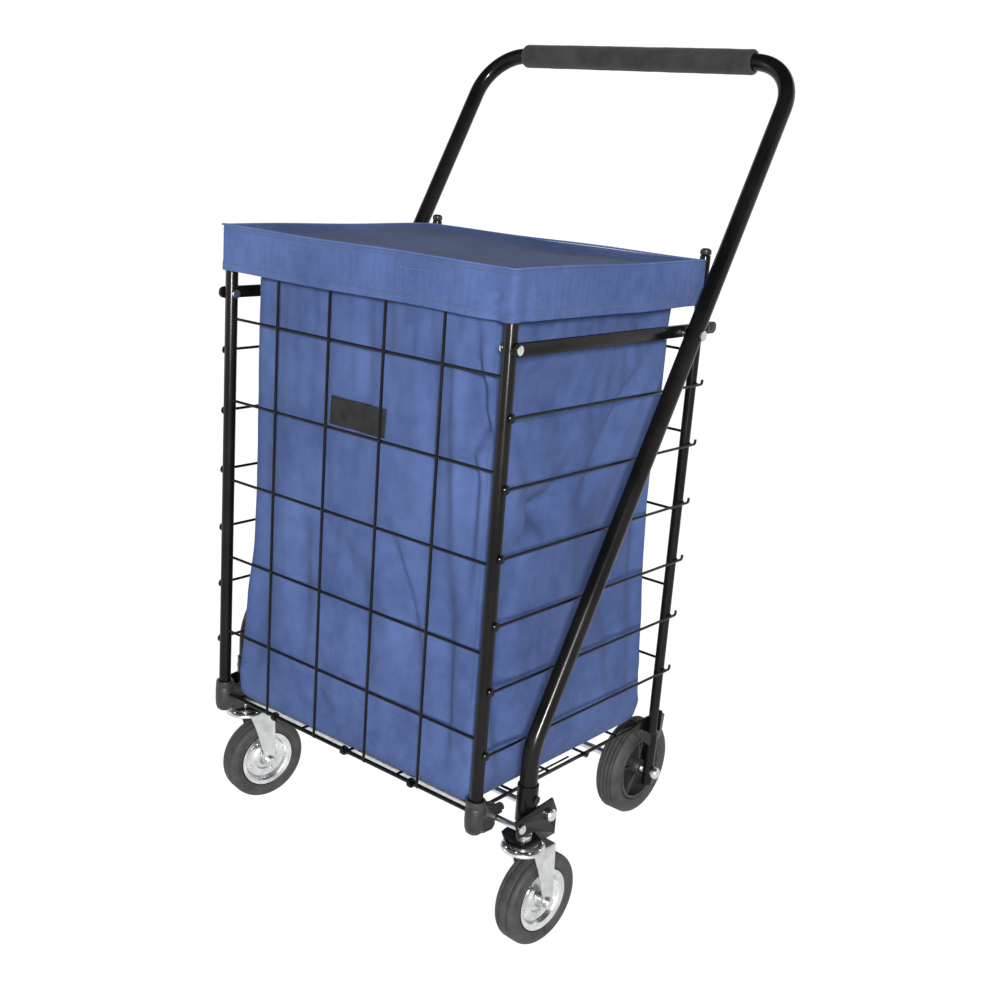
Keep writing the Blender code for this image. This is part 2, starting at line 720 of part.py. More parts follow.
def makeRearLeg(side):
    """A gusset bolted behind the rear tube, with the short leg that carries the axle."""
    tubeIn = TRACK_HALF - REAR_TUBE_R
    plateIn, plateOut = tubeIn - 0.0034, tubeIn - 0.0004
    railY = DEPTH - REAR_TUBE_R / 2
    gusset = [
        (DEPTH - 0.048, -0.003),
        (DEPTH - 0.008, 0.003),
        (DEPTH + 0.030, 0.003),
        (REAR_AXLE_Y + 0.022, -0.006),
        (REAR_AXLE_Y + 0.018, -0.040),
        (REAR_AXLE_Y - 0.012, -0.044),
        (DEPTH - 0.028, -0.016),
    ]
    leg = shape(prism, gusset, "X", *span(side, plateIn, plateOut))
    x = SIDES[side] * REAR_LEG_X
    joined = [shape(rod, "Z", (x, REAR_AXLE_Y, 0), REAR_LEG_BOTTOM, -0.022, REAR_LEG_R, 14)]
    back = DEPTH + REAR_TUBE_R + 0.0007
    low, high = span(side, plateIn, TRACK_HALF + 0.0075)
    flange = [(-0.016, low), (0.014, low), (0.014, high), (-0.016, high)]
    joined.append(shape(prism, flange, "Y", back, back + 0.0025))
    for z in (0.007, -0.009):
        place = (SIDES[side] * TRACK_HALF, 0, z)
        joined.append(shape(rod, "Y", place, back + 0.001, back + 0.008, 0.0045, 8))
    cuts = [shape(rod, "X", (0, REAR_AXLE_Y, REAR_AXLE_Z), *acrossTrack(side), AXLE_R + RUNNING, 14)]
    railZ = FLOOR_Z - 2 * RAIL_R - RUNNING
    cuts.append(shape(rod, "X", (0, railY, railZ), *acrossTrack(side), RAIL_R + RUNNING, 12))
    rename(combine(leg, joined, cuts), f"rear_leg_{side}", blackSteel)


def hubHalf():
    return REAR_TYRE_HALF - 0.0003


def makeRearAxle():
    """One axle across both wheels, with a washer each side of every hub and a bolt head at each end."""
    legOut = REAR_LEG_X + REAR_LEG_R
    legIn = REAR_LEG_X - REAR_LEG_R
    hubOut = REAR_WHEEL_X + hubHalf()
    hubIn = REAR_WHEEL_X - hubHalf()
    half = [
        (0, legOut + 0.0075),
        (0.0070, legOut + 0.0075),
        (0.0082, legOut + 0.0055),
        (0.0082, legOut + 0.0005),
        (AXLE_R, legOut + 0.0005),
        (AXLE_R, legIn - 0.0006),
        (0.0095, legIn - 0.0006),
        (0.0095, hubOut + 0.0004),
        (AXLE_R, hubOut + 0.0004),
        (AXLE_R, hubIn - 0.0004),
        (0.0095, hubIn - 0.0004),
        (0.0095, hubIn - 0.0040),
        (AXLE_R, hubIn - 0.0040),
    ]
    profile = half + [(r, -x) for r, x in reversed(half)]
    bm = bmesh.new()
    turned(bm, profile, "X", (0, 0, 0), 12)
    makeObject("rear_axle", bm, zinc, (0, REAR_AXLE_Y, REAR_AXLE_Z))


def makeRearWheel(side):
    place = (SIDES[side] * REAR_WHEEL_X, REAR_AXLE_Y, REAR_AXLE_Z)
    w = REAR_TYRE_HALF
    groove = 0.0022
    half = [
        (REAR_RIM_R + GAP, -w * 0.85),
        (REAR_RIM_R + 0.0060, -w),
        (REAR_TYRE_R - 0.0060, -w),
        (REAR_TYRE_R - 0.0006, -w * 0.70),
        (REAR_TYRE_R - groove, -w * 0.55),
        (REAR_TYRE_R, -w * 0.42),
        (REAR_TYRE_R, -w * 0.12),
        (REAR_TYRE_R - groove, -w * 0.04),
    ]
    profile = half + [(r, -x) for r, x in reversed(half)]
    bm = bmesh.new()
    turned(bm, profile, "X", (0, 0, 0), 32)
    makeObject(f"rear_tyre_{side}", bm, rubber, place)
    h = hubHalf()
    half = [(0.0045, -h), (0.0145, -h), (0.0155, -0.0030), (0.0415, -0.0030)]
    half += [(0.0425, -h * 0.92), (REAR_RIM_R, -h * 0.92)]
    profile = half + [(r, -x) for r, x in reversed(half)]
    hub = shape(turned, profile, "X", (0, 0, 0), 26)
    spokes = []
    for i in range(3):
        angle = math.pi * (i / 3 + 0.08)
        along = Vector((math.cos(angle), math.sin(angle)))
        across = Vector((-math.sin(angle), math.cos(angle)))
        ends = ((1, 1), (-1, 1), (-1, -1), (1, -1))
        outline = [tuple(along * 0.0430 * a + across * 0.0024 * b) for a, b in ends]
        spokes.append(shape(prism, outline, "X", -0.0105, 0.0105))
    bore = shape(rod, "X", (0, 0, 0), -0.03, 0.03, AXLE_R + RUNNING, 12)
    rename(combine(hub, spokes, [bore]), f"rear_hub_{side}", blackPlastic)
    hub.location = place


def floorCrossPlaces():
    places = []
    y = FLOOR_FRONT
    while y < FLOOR_REAR - FLOOR_CROSS_STEP / 2:
        places.append(y)
        y += FLOOR_CROSS_STEP
    return places + [FLOOR_REAR]


def crossZ():
    return FLOOR_Z + 2 * WIRE_R - 0.0020


def latchPlace():
    """The cross wire that the latch turns on."""
    return floorCrossPlaces()[3]


def makeFloor():
    """The wire floor: long wires front to back, cross wires on top, three knuckles on the bottom wire."""
    back = DEPTH - REAR_TUBE_R / 2 + 0.0005
    long = [
        shape(rod, "Y", (x, 0, FLOOR_Z), FLOOR_FRONT - 0.001, back, radius, 6)
        for x, radius in FLOOR_LONG_WIRES
    ]
    cross = []
    for y in floorCrossPlaces():
        reach = FLOOR_HALF + (0.0072 if y == latchPlace() else 0)
        cross.append(shape(rod, "X", (0, y, crossZ()), -FLOOR_HALF, reach, WIRE_R, 6))
    knuckles = []
    for x in KNUCKLES:
        bore = RAIL_R + 0.0006
        ring = [(bore, x - 0.0025), (0.0060, x - 0.0025), (0.0060, x + 0.0025), (bore, x + 0.0025)]
        knuckles.append(shape(turned, ring, "X", (0, 0, 0), 12))
        knuckles.append(shape(sweep, [(x, 0.0025, -0.0052), (x, FLOOR_FRONT, crossZ())], 0.0016, 6))
    floor = combine(cross[0], [*long, *cross[1:], *knuckles])
    rename(floor, "floor_grid", blackSteel)


def makeLatch():
    """A hairpin of wire with an eye on a cross wire's end; it lies along the floor's right edge."""
    outX = FLOOR_HALF + RAIL_R + 0.0026
    inX = FLOOR_HALF - 0.0030
    y = latchPlace()
    low = crossZ()
    flat = low + WIRE_R + LATCH_R + GAP
    corners = [
        (outX, y - 0.0040, low),
        (outX, y - 0.030, flat),
        (outX, y - LATCH_LONG, flat),
        (inX, y - LATCH_LONG, flat),
        (inX, y - 0.030, flat),
    ]
    latch = shape(sweep, roundedPath(corners, (0.01, 0.0030, 0.0030), 3), LATCH_R, 6)
    inner = WIRE_R + RUNNING
    eye = [(inner, outX - 0.0012), (0.0048, outX - 0.0012), (0.0048, outX + 0.0012), (inner, outX + 0.0012)]
    ring = shape(turned, eye, "X", (0, y, low), 12)
    rename(combine(latch, [ring]), "floor_latch", blackSteel)
    moveOrigin(latch, (outX, y, low))


def openBox(name, material, low, high, wall, floor, corner, opensUp):
    """A closed shell with round upright corners, open at the top or at the bottom."""
    outer = shape(prism, roundedRectangle(low[:2], high[:2], corner), "Z", low[2], high[2])
    inside = roundedRectangle((low[0] + wall, low[1] + wall), (high[0] - wall, high[1] - wall), corner - wall)
    start, end = (low[2] + floor, high[2] + 0.05) if opensUp else (low[2] - 0.05, high[2] - floor)
    hollow = shape(prism, inside, "Z", start, end)
    return rename(combine(outer, [], [hollow]), name, material)


def makeFabric():
    openBox(
        "liner_bag", navyFabric,
        (-BAG_HALF, BAG_FRONT, BAG_BOTTOM), (BAG_HALF, BAG_BACK, BAG_TOP),
        BAG_WALL, BAG_WALL, BAG_CORNER_R, True,
    )
    openBox(
        "liner_hood", navyFabric,
        (-HOOD_HALF, HOOD_FRONT, HOOD_HEM), (HOOD_HALF, HOOD_BACK, HOOD_TOP),
        HOOD_WALL, HOOD_WALL, HOOD_CORNER_R, False,
    )
    bm = bmesh.new()
    outline = [(0.413, -0.052), (0.448, -0.052), (0.448, 0.044), (0.413, 0.044)]
    prism(bm, outline, "Y", BAG_FRONT - GAP - 0.0012, BAG_FRONT - GAP)
    makeObject("label_patch", bm, darkPatch)


def leanAngle():
    """How far the trolley leans back for casters and rear wheels to touch one floor."""
    front = casterPlace("right")
    ahead = REAR_AXLE_Y - front[1]
    rise = REAR_AXLE_Z - front[2]
    bigger = REAR_TYRE_R - CASTER_TYRE_R
    return math.atan2(rise, ahead) - math.asin(bigger / math.hypot(ahead, rise))


def standOnFloor():
    """Moves the trolley so that its box stands on z = 0 and is centred on x = 0, y = 0."""
    trolley.rotation_euler = (-leanAngle(), 0, 0)
    bpy.context.view_layer.update()
    corners = []
    for obj in bpy.context.scene.objects:
        if obj.type == "MESH":
            corners += [obj.matrix_world @ vertex.co for vertex in obj.data.vertices]
    middle = [(min(c[i] for c in corners) + max(c[i] for c in corners)) / 2 for i in range(2)]
    trolley.location = (-middle[0], -middle[1], -min(c[2] for c in corners))
    bpy.context.view_layer.update()


clearScene()
trolley = bpy.data.objects.new("trolley", None)
bpy.context.scene.collection.objects.link(trolley)

blackSteel = makeMaterial("black_steel", (0.010, 0.010, 0.011), 0.28, 0.2)
blackPlastic = makeMaterial("black_plastic", (0.018, 0.018, 0.019), 0.45, 0.0)
zinc = makeMaterial("zinc", (0.62, 0.63, 0.62), 0.28, 1.0)
rubber = makeMaterial("rubber", (0.030, 0.030, 0.032), 0.7, 0.0)
foam = makeMaterial("foam", (0.022, 0.023, 0.025), 0.9, 0.0)
navyFabric = makeMaterial("navy_fabric", (0.055, 0.10, 0.28), 0.85, 0.0)
darkPatch = makeMaterial("dark_patch", (0.035, 0.038, 0.045), 0.6, 0.0)

makeFrontPanel()
makeRearFrame()
makeHandleFrame()
makeGrip()
makeCrossRod("front_cross_rod", FRONT_ROD_Y, 0.0058, 0.0030)
makeCrossRod("rear_cross_rod", REAR_ROD_Y, 0.0080, 0.0065)
makeRearAxle()
makeFloor()
makeLatch()
makeFabric()
for side in SIDES:
    makeCornerCap(side)
    makeTubePlug(side)
    makeSideBar(side)
    makeBarRivets(side)
    makeSideWires(side)
    makePivotBolt(side)
    makeLegCollar(side)
    makeBracket(side)
    makeCaster(side)
    makeRearLeg(side)
    makeRearWheel(side)
standOnFloor()
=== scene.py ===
import math

import bmesh
import bpy
import numpy as np
from mathutils import Matrix, Vector, noise
from mathutils.bvhtree import BVHTree


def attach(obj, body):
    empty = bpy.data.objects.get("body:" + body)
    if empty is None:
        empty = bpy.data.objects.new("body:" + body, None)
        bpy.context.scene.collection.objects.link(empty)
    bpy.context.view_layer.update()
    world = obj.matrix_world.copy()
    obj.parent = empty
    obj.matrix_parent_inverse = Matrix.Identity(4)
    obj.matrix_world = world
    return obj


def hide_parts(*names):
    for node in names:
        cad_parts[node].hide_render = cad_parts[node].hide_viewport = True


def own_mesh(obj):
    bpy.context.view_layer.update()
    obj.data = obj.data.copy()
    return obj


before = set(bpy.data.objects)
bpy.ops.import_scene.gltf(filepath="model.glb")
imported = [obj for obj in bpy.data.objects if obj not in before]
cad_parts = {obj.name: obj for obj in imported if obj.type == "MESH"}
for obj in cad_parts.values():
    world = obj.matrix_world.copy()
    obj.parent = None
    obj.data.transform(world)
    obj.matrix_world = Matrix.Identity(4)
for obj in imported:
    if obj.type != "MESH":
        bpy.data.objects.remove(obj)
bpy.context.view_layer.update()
print("frame loaded")

# The trolley is drawn upright: x to its right, y to its back, z up from the bottom wire.
# Then it leans back onto its wheels.
standing = {"lean": 0.12240455, "at": (-0.00072147, -0.30990416, 0.20422648)}
stand = Matrix.Translation(standing["at"]) @ Matrix.Rotation(-standing["lean"], 4, "X")
sides = {"left": -1, "right": 1}

# Sizes that several pieces share, in metres
basket = {
    "half": 0.2285,  # centre to tube
    "depth": 0.380,  # front tubes to rear tubes
    "frontTube": 0.008,
    "rearTube": 0.0068,
    "frontTop": 0.622,
    "rearTop": 0.640,
    "wire": 0.0018,
    "rail": 0.0024,
    "topRail": 0.004,
    "topRailZ": 0.612,
    "rows": [0.0927 + 0.1062 * i for i in range(5)],
    "columns": [-0.1371, -0.0457, 0.0457, 0.1371],
    "levels": [0.0776 + 0.0795 * i for i in range(6)],
    "barZ": 0.549,
}


# A bar along a path; radius is one number or one for each point
def sweep(bm, path, radius, around=12, closed=False):
    points = [Vector(p) for p in path]
    count = len(points)
    radii = radius if hasattr(radius, "__len__") else [radius] * count
    rings = []
    normal = None
    for i, point in enumerate(points):
        before = points[i - 1] if i or closed else point
        after = points[(i + 1) % count] if i + 1 < count or closed else point
        tangent = ((after - point).normalized() + (point - before).normalized()).normalized()
        if normal is None:
            normal = tangent.orthogonal().normalized()
        normal = (normal - tangent * normal.dot(tangent)).normalized()
        across = tangent.cross(normal)
        ring = []
        for k in range(around):
            angle = 2 * math.pi * k / around
            out = math.cos(angle) * normal + math.sin(angle) * across
            ring.append(bm.verts.new(point + radii[i] * out))
        rings.append(ring)
    pairs = list(zip(rings, rings[1:]))
    if closed:
        pairs.append((rings[-1], rings[0]))
    else:
        bm.faces.new(rings[0][::-1])
        bm.faces.new(rings[-1])
    for low, high in pairs:
        for k in range(around):
            bm.faces.new((low[k], low[k - 1], high[k - 1], high[k]))


def roundedPath(corners, radii, steps=8):
    points = [Vector(corners[0])]
    for before, here, after, radius in zip(corners, corners[1:], corners[2:], radii):
        before, here, after = Vector(before), Vector(here), Vector(after)
        toBefore = (before - here).normalized()
        toAfter = (after - here).normalized()
        half = toBefore.angle(toAfter) / 2
        centre = here + (toBefore + toAfter).normalized() * radius / math.sin(half)
        start = here + toBefore * radius / math.tan(half) - centre
        end = here + toAfter * radius / math.tan(half) - centre
        axis = start.cross(end).normalized()
        for i in range(steps + 1):
            points.append(centre + Matrix.Rotation(start.angle(end) * i / steps, 3, axis) @ start)
    points.append(Vector(corners[-1]))
    return points


axisTurn = {
    "X": Matrix(((0, 0, 1), (1, 0, 0), (0, 1, 0))),
    "Y": Matrix(((0, 1, 0), (0, 0, 1), (1, 0, 0))),
    "Z": Matrix.Identity(3),
}


# closed outline of (radius, along) points turned round an axis
def lathe(bm, profile, axis="Z", centre=(0, 0, 0), around=32):
    place = axisTurn[axis]
    rings = []
    for radius, along in profile:
        count = around if radius > 0 else 1
        ring = []
        for k in range(count):
            angle = 2 * math.pi * k / around
            spot = Vector((radius * math.cos(angle), radius * math.sin(angle), along))
            ring.append(bm.verts.new(Vector(centre) + place @ spot))
        rings.append(ring)
    loop = rings + [rings[0]] if all(r for r, _ in profile) else rings
    for low, high in zip(loop, loop[1:]):
        for k in range(around):
            corners = [low[k % len(low)]]
            if len(low) > 1:
                corners.append(low[k - 1])
            if len(high) > 1:
                corners.append(high[k - 1])
            corners.append(high[k % len(high)])
            if len(corners) > 2:
                bm.faces.new(corners)


def mirrored(half):
    return half + [(r, -x) for r, x in reversed(half)]


# flat outline given thickness; on X the outline is (y, z), on Y (z, x), on Z (x, y)
def plate(bm, outline, axis, low, high):
    place = axisTurn[axis]
    ends = []
    for along in (low, high):
        ends.append([bm.verts.new(place @ Vector((a, b, along))) for a, b in outline])
    bm.faces.new(ends[0][::-1])
    bm.faces.new(ends[1])
    for k in range(len(outline)):
        bm.faces.new((ends[0][k - 1], ends[0][k], ends[1][k], ends[1][k - 1]))


# straight wire with a small weld fillet at each end
def weldedWire(bm, start, end, radius, around=12, flare=1.7):
    start, end = Vector(start), Vector(end)
    along = (end - start).normalized()
    steps = ((0, flare), (0.0008, 1 + (flare - 1) * 0.55), (0.0018, 1 + (flare - 1) * 0.18), (0.0032, 1))
    path = [start + along * d for d, _ in steps] + [end - along * d for d, _ in reversed(steps)]
    radii = [radius * r for _, r in steps] + [radius * r for _, r in reversed(steps)]
    sweep(bm, path, radii, around)


# small blob of weld
def bead(bm, centre, size):
    made = bmesh.ops.create_icosphere(bm, subdivisions=2, radius=1)
    for vertex in made["verts"]:
        vertex.co = Vector(centre) + Vector(a * b for a, b in zip(vertex.co, size))


def addPiece(name, bm, material, body, replaces=(), origin=(0, 0, 0), turn=0.0, bevel=None, angle=35):
    bmesh.ops.recalc_face_normals(bm, faces=bm.faces)
    mesh = bpy.data.meshes.new(name)
    bm.to_mesh(mesh)
    bm.free()
    mesh.transform(stand @ Matrix.Translation(origin) @ Matrix.Rotation(turn, 4, "Z"))
    mesh.materials.append(material)
    mesh.shade_smooth()
    mesh.set_sharp_from_angle(angle=math.radians(angle))
    piece = bpy.data.objects.new(name, mesh)
    bpy.context.scene.collection.objects.link(piece)
    if bevel:
        edge = piece.modifiers.new("edges", "BEVEL")
        edge.width = bevel
        edge.segments = 3
        edge.limit_method = "ANGLE"
        edge.angle_limit = math.radians(40)
        edge.harden_normals = True
    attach(piece, body)
    if replaces:
        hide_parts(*replaces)
    return piece


def startMaterial(name, roughness, metallic, constants=None):
    material = bpy.data.materials.new(name)
    material.use_nodes = True
    shader = material.node_tree.nodes["Principled BSDF"]
    shader.inputs["Roughness"].default_value = roughness
    shader.inputs["Metallic"].default_value = metallic
    for socket, value in (constants or {}).items():
        shader.inputs[socket].default_value = value
    return material, material.node_tree, shader


def addNode(tree, kind, inputs=None, **settings):
    made = tree.nodes.new(kind)
    for key, value in settings.items():
        setattr(made, key, value)
    for key, value in (inputs or {}).items():
        if isinstance(value, bpy.types.NodeSocket):
            tree.links.new(value, made.inputs[key])
        else:
            made.inputs[key].default_value = value
    return made


def calc(tree, operation, a, b=0.0):
    return addNode(tree, "ShaderNodeMath", {0: a, 1: b}, operation=operation).outputs[0]


def noiseAt(tree, spot, scale, detail=3.0, rough=0.5):
    values = {"Vector": spot, "Scale": scale, "Detail": detail, "Roughness": rough}
    return addNode(tree, "ShaderNodeTexNoise", values).outputs["Fac"]


# 0..1 factor spread between two values, or two colours
def ramp(tree, fac, low, high, start, end):
    if hasattr(start, "__len__"):
        fac = ramp(tree, fac, low, high, 0.0, 1.0)
        made = addNode(tree, "ShaderNodeMix", {"Factor": fac}, data_type="RGBA")
        made.inputs[6].default_value = (*start, 1)
        made.inputs[7].default_value = (*end, 1)
        return made.outputs[2]
    values = {"Value": fac, "From Min": low, "From Max": high, "To Min": start, "To Max": end}
    return addNode(tree, "ShaderNodeMapRange", values).outputs[0]


def blendColors(tree, fac, a, b):
    made = addNode(tree, "ShaderNodeMix", {"Factor": fac}, data_type="RGBA")
    for key, value in ((6, a), (7, b)):
        if isinstance(value, bpy.types.NodeSocket):
            tree.links.new(value, made.inputs[key])
        else:
            made.inputs[key].default_value = (*value, 1)
    return made.outputs[2]


def finishMaterial(tree, shader, color, roughness=None, height=None, depth=0.0002, strength=0.5):
    tree.links.new(color, shader.inputs["Base Color"])
    if roughness is not None:
        tree.links.new(roughness, shader.inputs["Roughness"])
    if height is not None:
        bump = addNode(tree, "ShaderNodeBump", {"Height": height, "Distance": depth, "Strength": strength})
        tree.links.new(bump.outputs[0], shader.inputs["Normal"])


coat = {"deep": (0.0022, 0.0021, 0.0021), "thin": (0.0058, 0.0050, 0.0047), "scuff": (0.035, 0.031, 0.028)}


def blackCoat(name, gloss=0.15):
    constants = {"Specular IOR Level": 0.13, "Coat Weight": 0.04, "Coat Roughness": 0.05}
    material, tree, shader = startMaterial(name, gloss, 0.0, constants)
    spot = addNode(tree, "ShaderNodeTexCoord").outputs["Object"]
    cloud = noiseAt(tree, spot, 14, 4)
    peel = noiseAt(tree, spot, 420, 2)
    fleck = noiseAt(tree, spot, 260, 5, 0.7)
    color = ramp(tree, cloud, 0.35, 0.7, coat["deep"], coat["thin"])
    color = blendColors(tree, ramp(tree, fleck, 0.68, 0.76, 0.0, 0.8), color, coat["scuff"])
    rough = ramp(tree, cloud, 0.3, 0.7, gloss, gloss + 0.12)
    rough = calc(tree, "ADD", rough, ramp(tree, fleck, 0.6, 0.8, 0.0, 0.25))
    finishMaterial(tree, shader, color, rough, peel, 0.0002, 0.12)
    return material


def zincPlate(name, base=(0.66, 0.67, 0.67), rough=0.24):
    material, tree, shader = startMaterial(name, rough, 1.0)
    spot = addNode(tree, "ShaderNodeTexCoord").outputs["Object"]
    cloud = noiseAt(tree, spot, 60, 4)
    grain = noiseAt(tree, spot, 900, 3, 0.6)
    dull = tuple(c * 0.72 for c in base)
    color = ramp(tree, cloud, 0.35, 0.7, dull, base)
    color = blendColors(tree, ramp(tree, grain, 0.66, 0.8, 0.0, 0.45), color, (0.33, 0.31, 0.28))
    finish = ramp(tree, cloud, 0.3, 0.75, rough + 0.16, rough - 0.04)
    finishMaterial(tree, shader, color, finish, grain, 0.0001, 0.15)
    return material


def darkRubber(name, light=(0.043, 0.042, 0.042), deep=(0.019, 0.0187, 0.0187)):
    material, tree, shader = startMaterial(name, 0.6, 0.0, {"Specular IOR Level": 0.22})
    spot = addNode(tree, "ShaderNodeTexCoord").outputs["Object"]
    cloud = noiseAt(tree, spot, 45, 5, 0.6)
    grain = noiseAt(tree, spot, 1500, 3, 0.6)
    dust = noiseAt(tree, spot, 190, 6, 0.75)
    color = ramp(tree, cloud, 0.3, 0.7, deep, light)
    color = blendColors(tree, ramp(tree, dust, 0.58, 0.8, 0.0, 0.5), color, (0.10, 0.098, 0.092))
    finishMaterial(tree, shader, color, ramp(tree, cloud, 0.3, 0.7, 0.48, 0.72), grain, 0.0002, 0.35)
    return material


def mouldedPlastic(name):
    material, tree, shader = startMaterial(name, 0.42, 0.0, {"Specular IOR Level": 0.28})
    spot = addNode(tree, "ShaderNodeTexCoord").outputs["Object"]
    cloud = noiseAt(tree, spot, 40, 3)
    grain = noiseAt(tree, spot, 1100, 2)
    color = ramp(tree, cloud, 0.3, 0.7, (0.010, 0.010, 0.0105), (0.024, 0.0235, 0.023))
    finishMaterial(tree, shader, color, ramp(tree, cloud, 0.3, 0.7, 0.32, 0.52), grain, 0.0002, 0.3)
    return material


def gripFoam(name):
    constants = {"Specular IOR Level": 0.12, "Sheen Weight": 0.08}
    material, tree, shader = startMaterial(name, 0.92, 0.0, constants)
    spot = addNode(tree, "ShaderNodeTexCoord").outputs["Object"]
    cells = addNode(tree, "ShaderNodeTexVoronoi", {"Vector": spot, "Scale": 900.0}).outputs["Distance"]
    cloud = noiseAt(tree, spot, 30, 5, 0.6)
    color = ramp(tree, cloud, 0.3, 0.7, (0.017, 0.0173, 0.018), (0.033, 0.0335, 0.035))
    # the cell pits are darkened: painted shade in the foam's pores
    color = blendColors(tree, ramp(tree, cells, 0.0, 0.35, 0.45, 0.0), color, (0.006, 0.006, 0.007))
    finishMaterial(tree, shader, color, None, cells, 0.0004, 0.6)
    return material


cloth = {
    "pitch": 0.0011,  # thread to thread
    "fleckSize": 1400,
    "fleck": (0.14, 0.18, 0.33),
    "sheen": 0.02,
}


# plain weave on whichever pair of axes the cloth faces, with paler slubs and faded patches
def wovenCloth(name, deep, light):
    constants = {"Sheen Weight": cloth["sheen"], "Sheen Roughness": 0.45, "Specular IOR Level": 0.06}
    material, tree, shader = startMaterial(name, 0.8, 0.0, constants)
    coordinates = addNode(tree, "ShaderNodeTexCoord")
    spot = coordinates.outputs["Object"]
    x, y, z = addNode(tree, "ShaderNodeSeparateXYZ", {0: spot}).outputs
    facing = addNode(tree, "ShaderNodeSeparateXYZ", {0: coordinates.outputs["Normal"]}).outputs
    onSide = calc(tree, "GREATER_THAN", calc(tree, "ABSOLUTE", facing[0]), 0.7)
    onTop = calc(tree, "GREATER_THAN", calc(tree, "ABSOLUTE", facing[2]), 0.7)
    u = addNode(tree, "ShaderNodeMix", {"Factor": onSide, "A": x, "B": y}, data_type="FLOAT").outputs[0]
    v = addNode(tree, "ShaderNodeMix", {"Factor": onTop, "A": z, "B": y}, data_type="FLOAT").outputs[0]
    turns = 2 * math.pi / cloth["pitch"] / 2
    warp = calc(tree, "SINE", calc(tree, "MULTIPLY", u, turns))
    weft = calc(tree, "SINE", calc(tree, "MULTIPLY", v, turns))
    weave = calc(tree, "MULTIPLY", warp, weft)
    slub = noiseAt(tree, spot, cloth["fleckSize"], 2, 0.6)
    fade = noiseAt(tree, spot, 7, 4, 0.55)
    blotch = noiseAt(tree, spot, 55, 5, 0.65)
    patchy = calc(tree, "ADD", calc(tree, "MULTIPLY", fade, 0.65), calc(tree, "MULTIPLY", blotch, 0.35))
    color = ramp(tree, patchy, 0.36, 0.62, deep, light)
    color = blendColors(tree, ramp(tree, slub, 0.56, 0.72, 0.0, 0.34), color, cloth["fleck"])
    # the dips between threads are darkened towards a deep navy: painted shade in the weave
    between = tuple(c * 0.45 for c in deep)
    color = blendColors(tree, ramp(tree, weave, -1.0, 0.2, 0.22, 0.0), color, between)
    height = calc(tree, "ADD", calc(tree, "MULTIPLY", weave, 0.5), calc(tree, "MULTIPLY", slub, 0.9))
    finishMaterial(tree, shader, color, ramp(tree, slub, 0.4, 0.7, 0.86, 0.66), height, 0.00035, 0.55)
    return material


def sewingThread(name, color):
    material, tree, shader = startMaterial(name, 0.6, 0.0, {"Sheen Weight": 0.3})
    spot = addNode(tree, "ShaderNodeTexCoord").outputs["Object"]
    twist = noiseAt(tree, spot, 2200, 2)
    shaded = ramp(tree, twist, 0.35, 0.65, tuple(c * 0.6 for c in color), color)
    finishMaterial(tree, shader, shaded, None, twist, 0.0001, 0.4)
    return material


def labelWeave(name):
    constants = {"Sheen Weight": 0.02, "Specular IOR Level": 0.08}
    material, tree, shader = startMaterial(name, 0.6, 0.0, constants)
    spot = addNode(tree, "ShaderNodeTexCoord").outputs["Object"]
    x, _, z = addNode(tree, "ShaderNodeSeparateXYZ", {0: spot}).outputs
    twill = calc(tree, "SINE", calc(tree, "MULTIPLY", calc(tree, "ADD", x, z), 9000.0))
    cloud = noiseAt(tree, spot, 70, 4)
    color = ramp(tree, cloud, 0.3, 0.7, (0.010, 0.0104, 0.0102), (0.019, 0.0193, 0.019))
    finishMaterial(tree, shader, color, ramp(tree, twill, -1, 1, 0.5, 0.72), twill, 0.0001, 0.4)
    return material


coated = blackCoat("blackPowderCoat")
wireCoat = blackCoat("blackWireCoat", 0.2)
zinc = zincPlate("brightZinc")
rimZinc = zincPlate("pressedZinc", (0.72, 0.73, 0.73), 0.2)
rubber = darkRubber("tyreRubber")
plastic = mouldedPlastic("mouldedBlack")
foam = gripFoam("gripFoam")
bagCloth = wovenCloth("navyBagCloth", (0.032, 0.052, 0.132), (0.054, 0.083, 0.193))
lidCloth = wovenCloth("navyLidCloth", (0.034, 0.056, 0.141), (0.058, 0.090, 0.210))
pipingCloth = wovenCloth("navyPiping", (0.050, 0.076, 0.180), (0.076, 0.112, 0.245))
thread = sewingThread("navyThread", (0.014, 0.019, 0.050))
darkThread = sewingThread("darkThread", (0.030, 0.040, 0.090))
label = labelWeave("darkLabel")
print("finishes mixed")


# Wires of the front and rear panels
def panelWires(bm, y, radius, bottom, columnY):
    reach = basket["half"] - radius * 0.8
    for z in basket["rows"]:
        weldedWire(bm, (-reach, y, z), (reach, y, z), basket["wire"])
    weldedWire(bm, (-reach, *bottom), (reach, *bottom), basket["rail"])
    top = basket["topRailZ"]
    weldedWire(bm, (-reach, y, top), (reach, y, top), basket["topRail"], 16, 1.25)
    for x in basket["columns"]:
        sweep(bm, [(x, columnY, bottom[1]), (x, columnY, top - 0.002)], basket["wire"], 12)
        for z in basket["rows"]:
            bead(bm, (x, (columnY + y) / 2, z), (0.0026, 0.0019, 0.0026))
        bead(bm, (x, (columnY + bottom[0]) / 2, bottom[1]), (0.0028, 0.0022, 0.0024))


def uprightTube(bm, x, y, radius, bottom, top):
    heights = (bottom, bottom + 0.0006, top - 0.0022, top - 0.0008, top)
    radii = [radius - 0.0006, radius, radius, radius * 0.94, radius * 0.72]
    sweep(bm, [(x, y, z) for z in heights], radii, 28)


bm = bmesh.new()
for sign in sides.values():
    uprightTube(bm, sign * basket["half"], 0, basket["frontTube"], -0.0075, basket["frontTop"])
panelWires(bm, 0, basket["frontTube"], (0, 0), -0.0028)
addPiece("frontPanel", bm, coated, "front_panel", ["front_panel"])

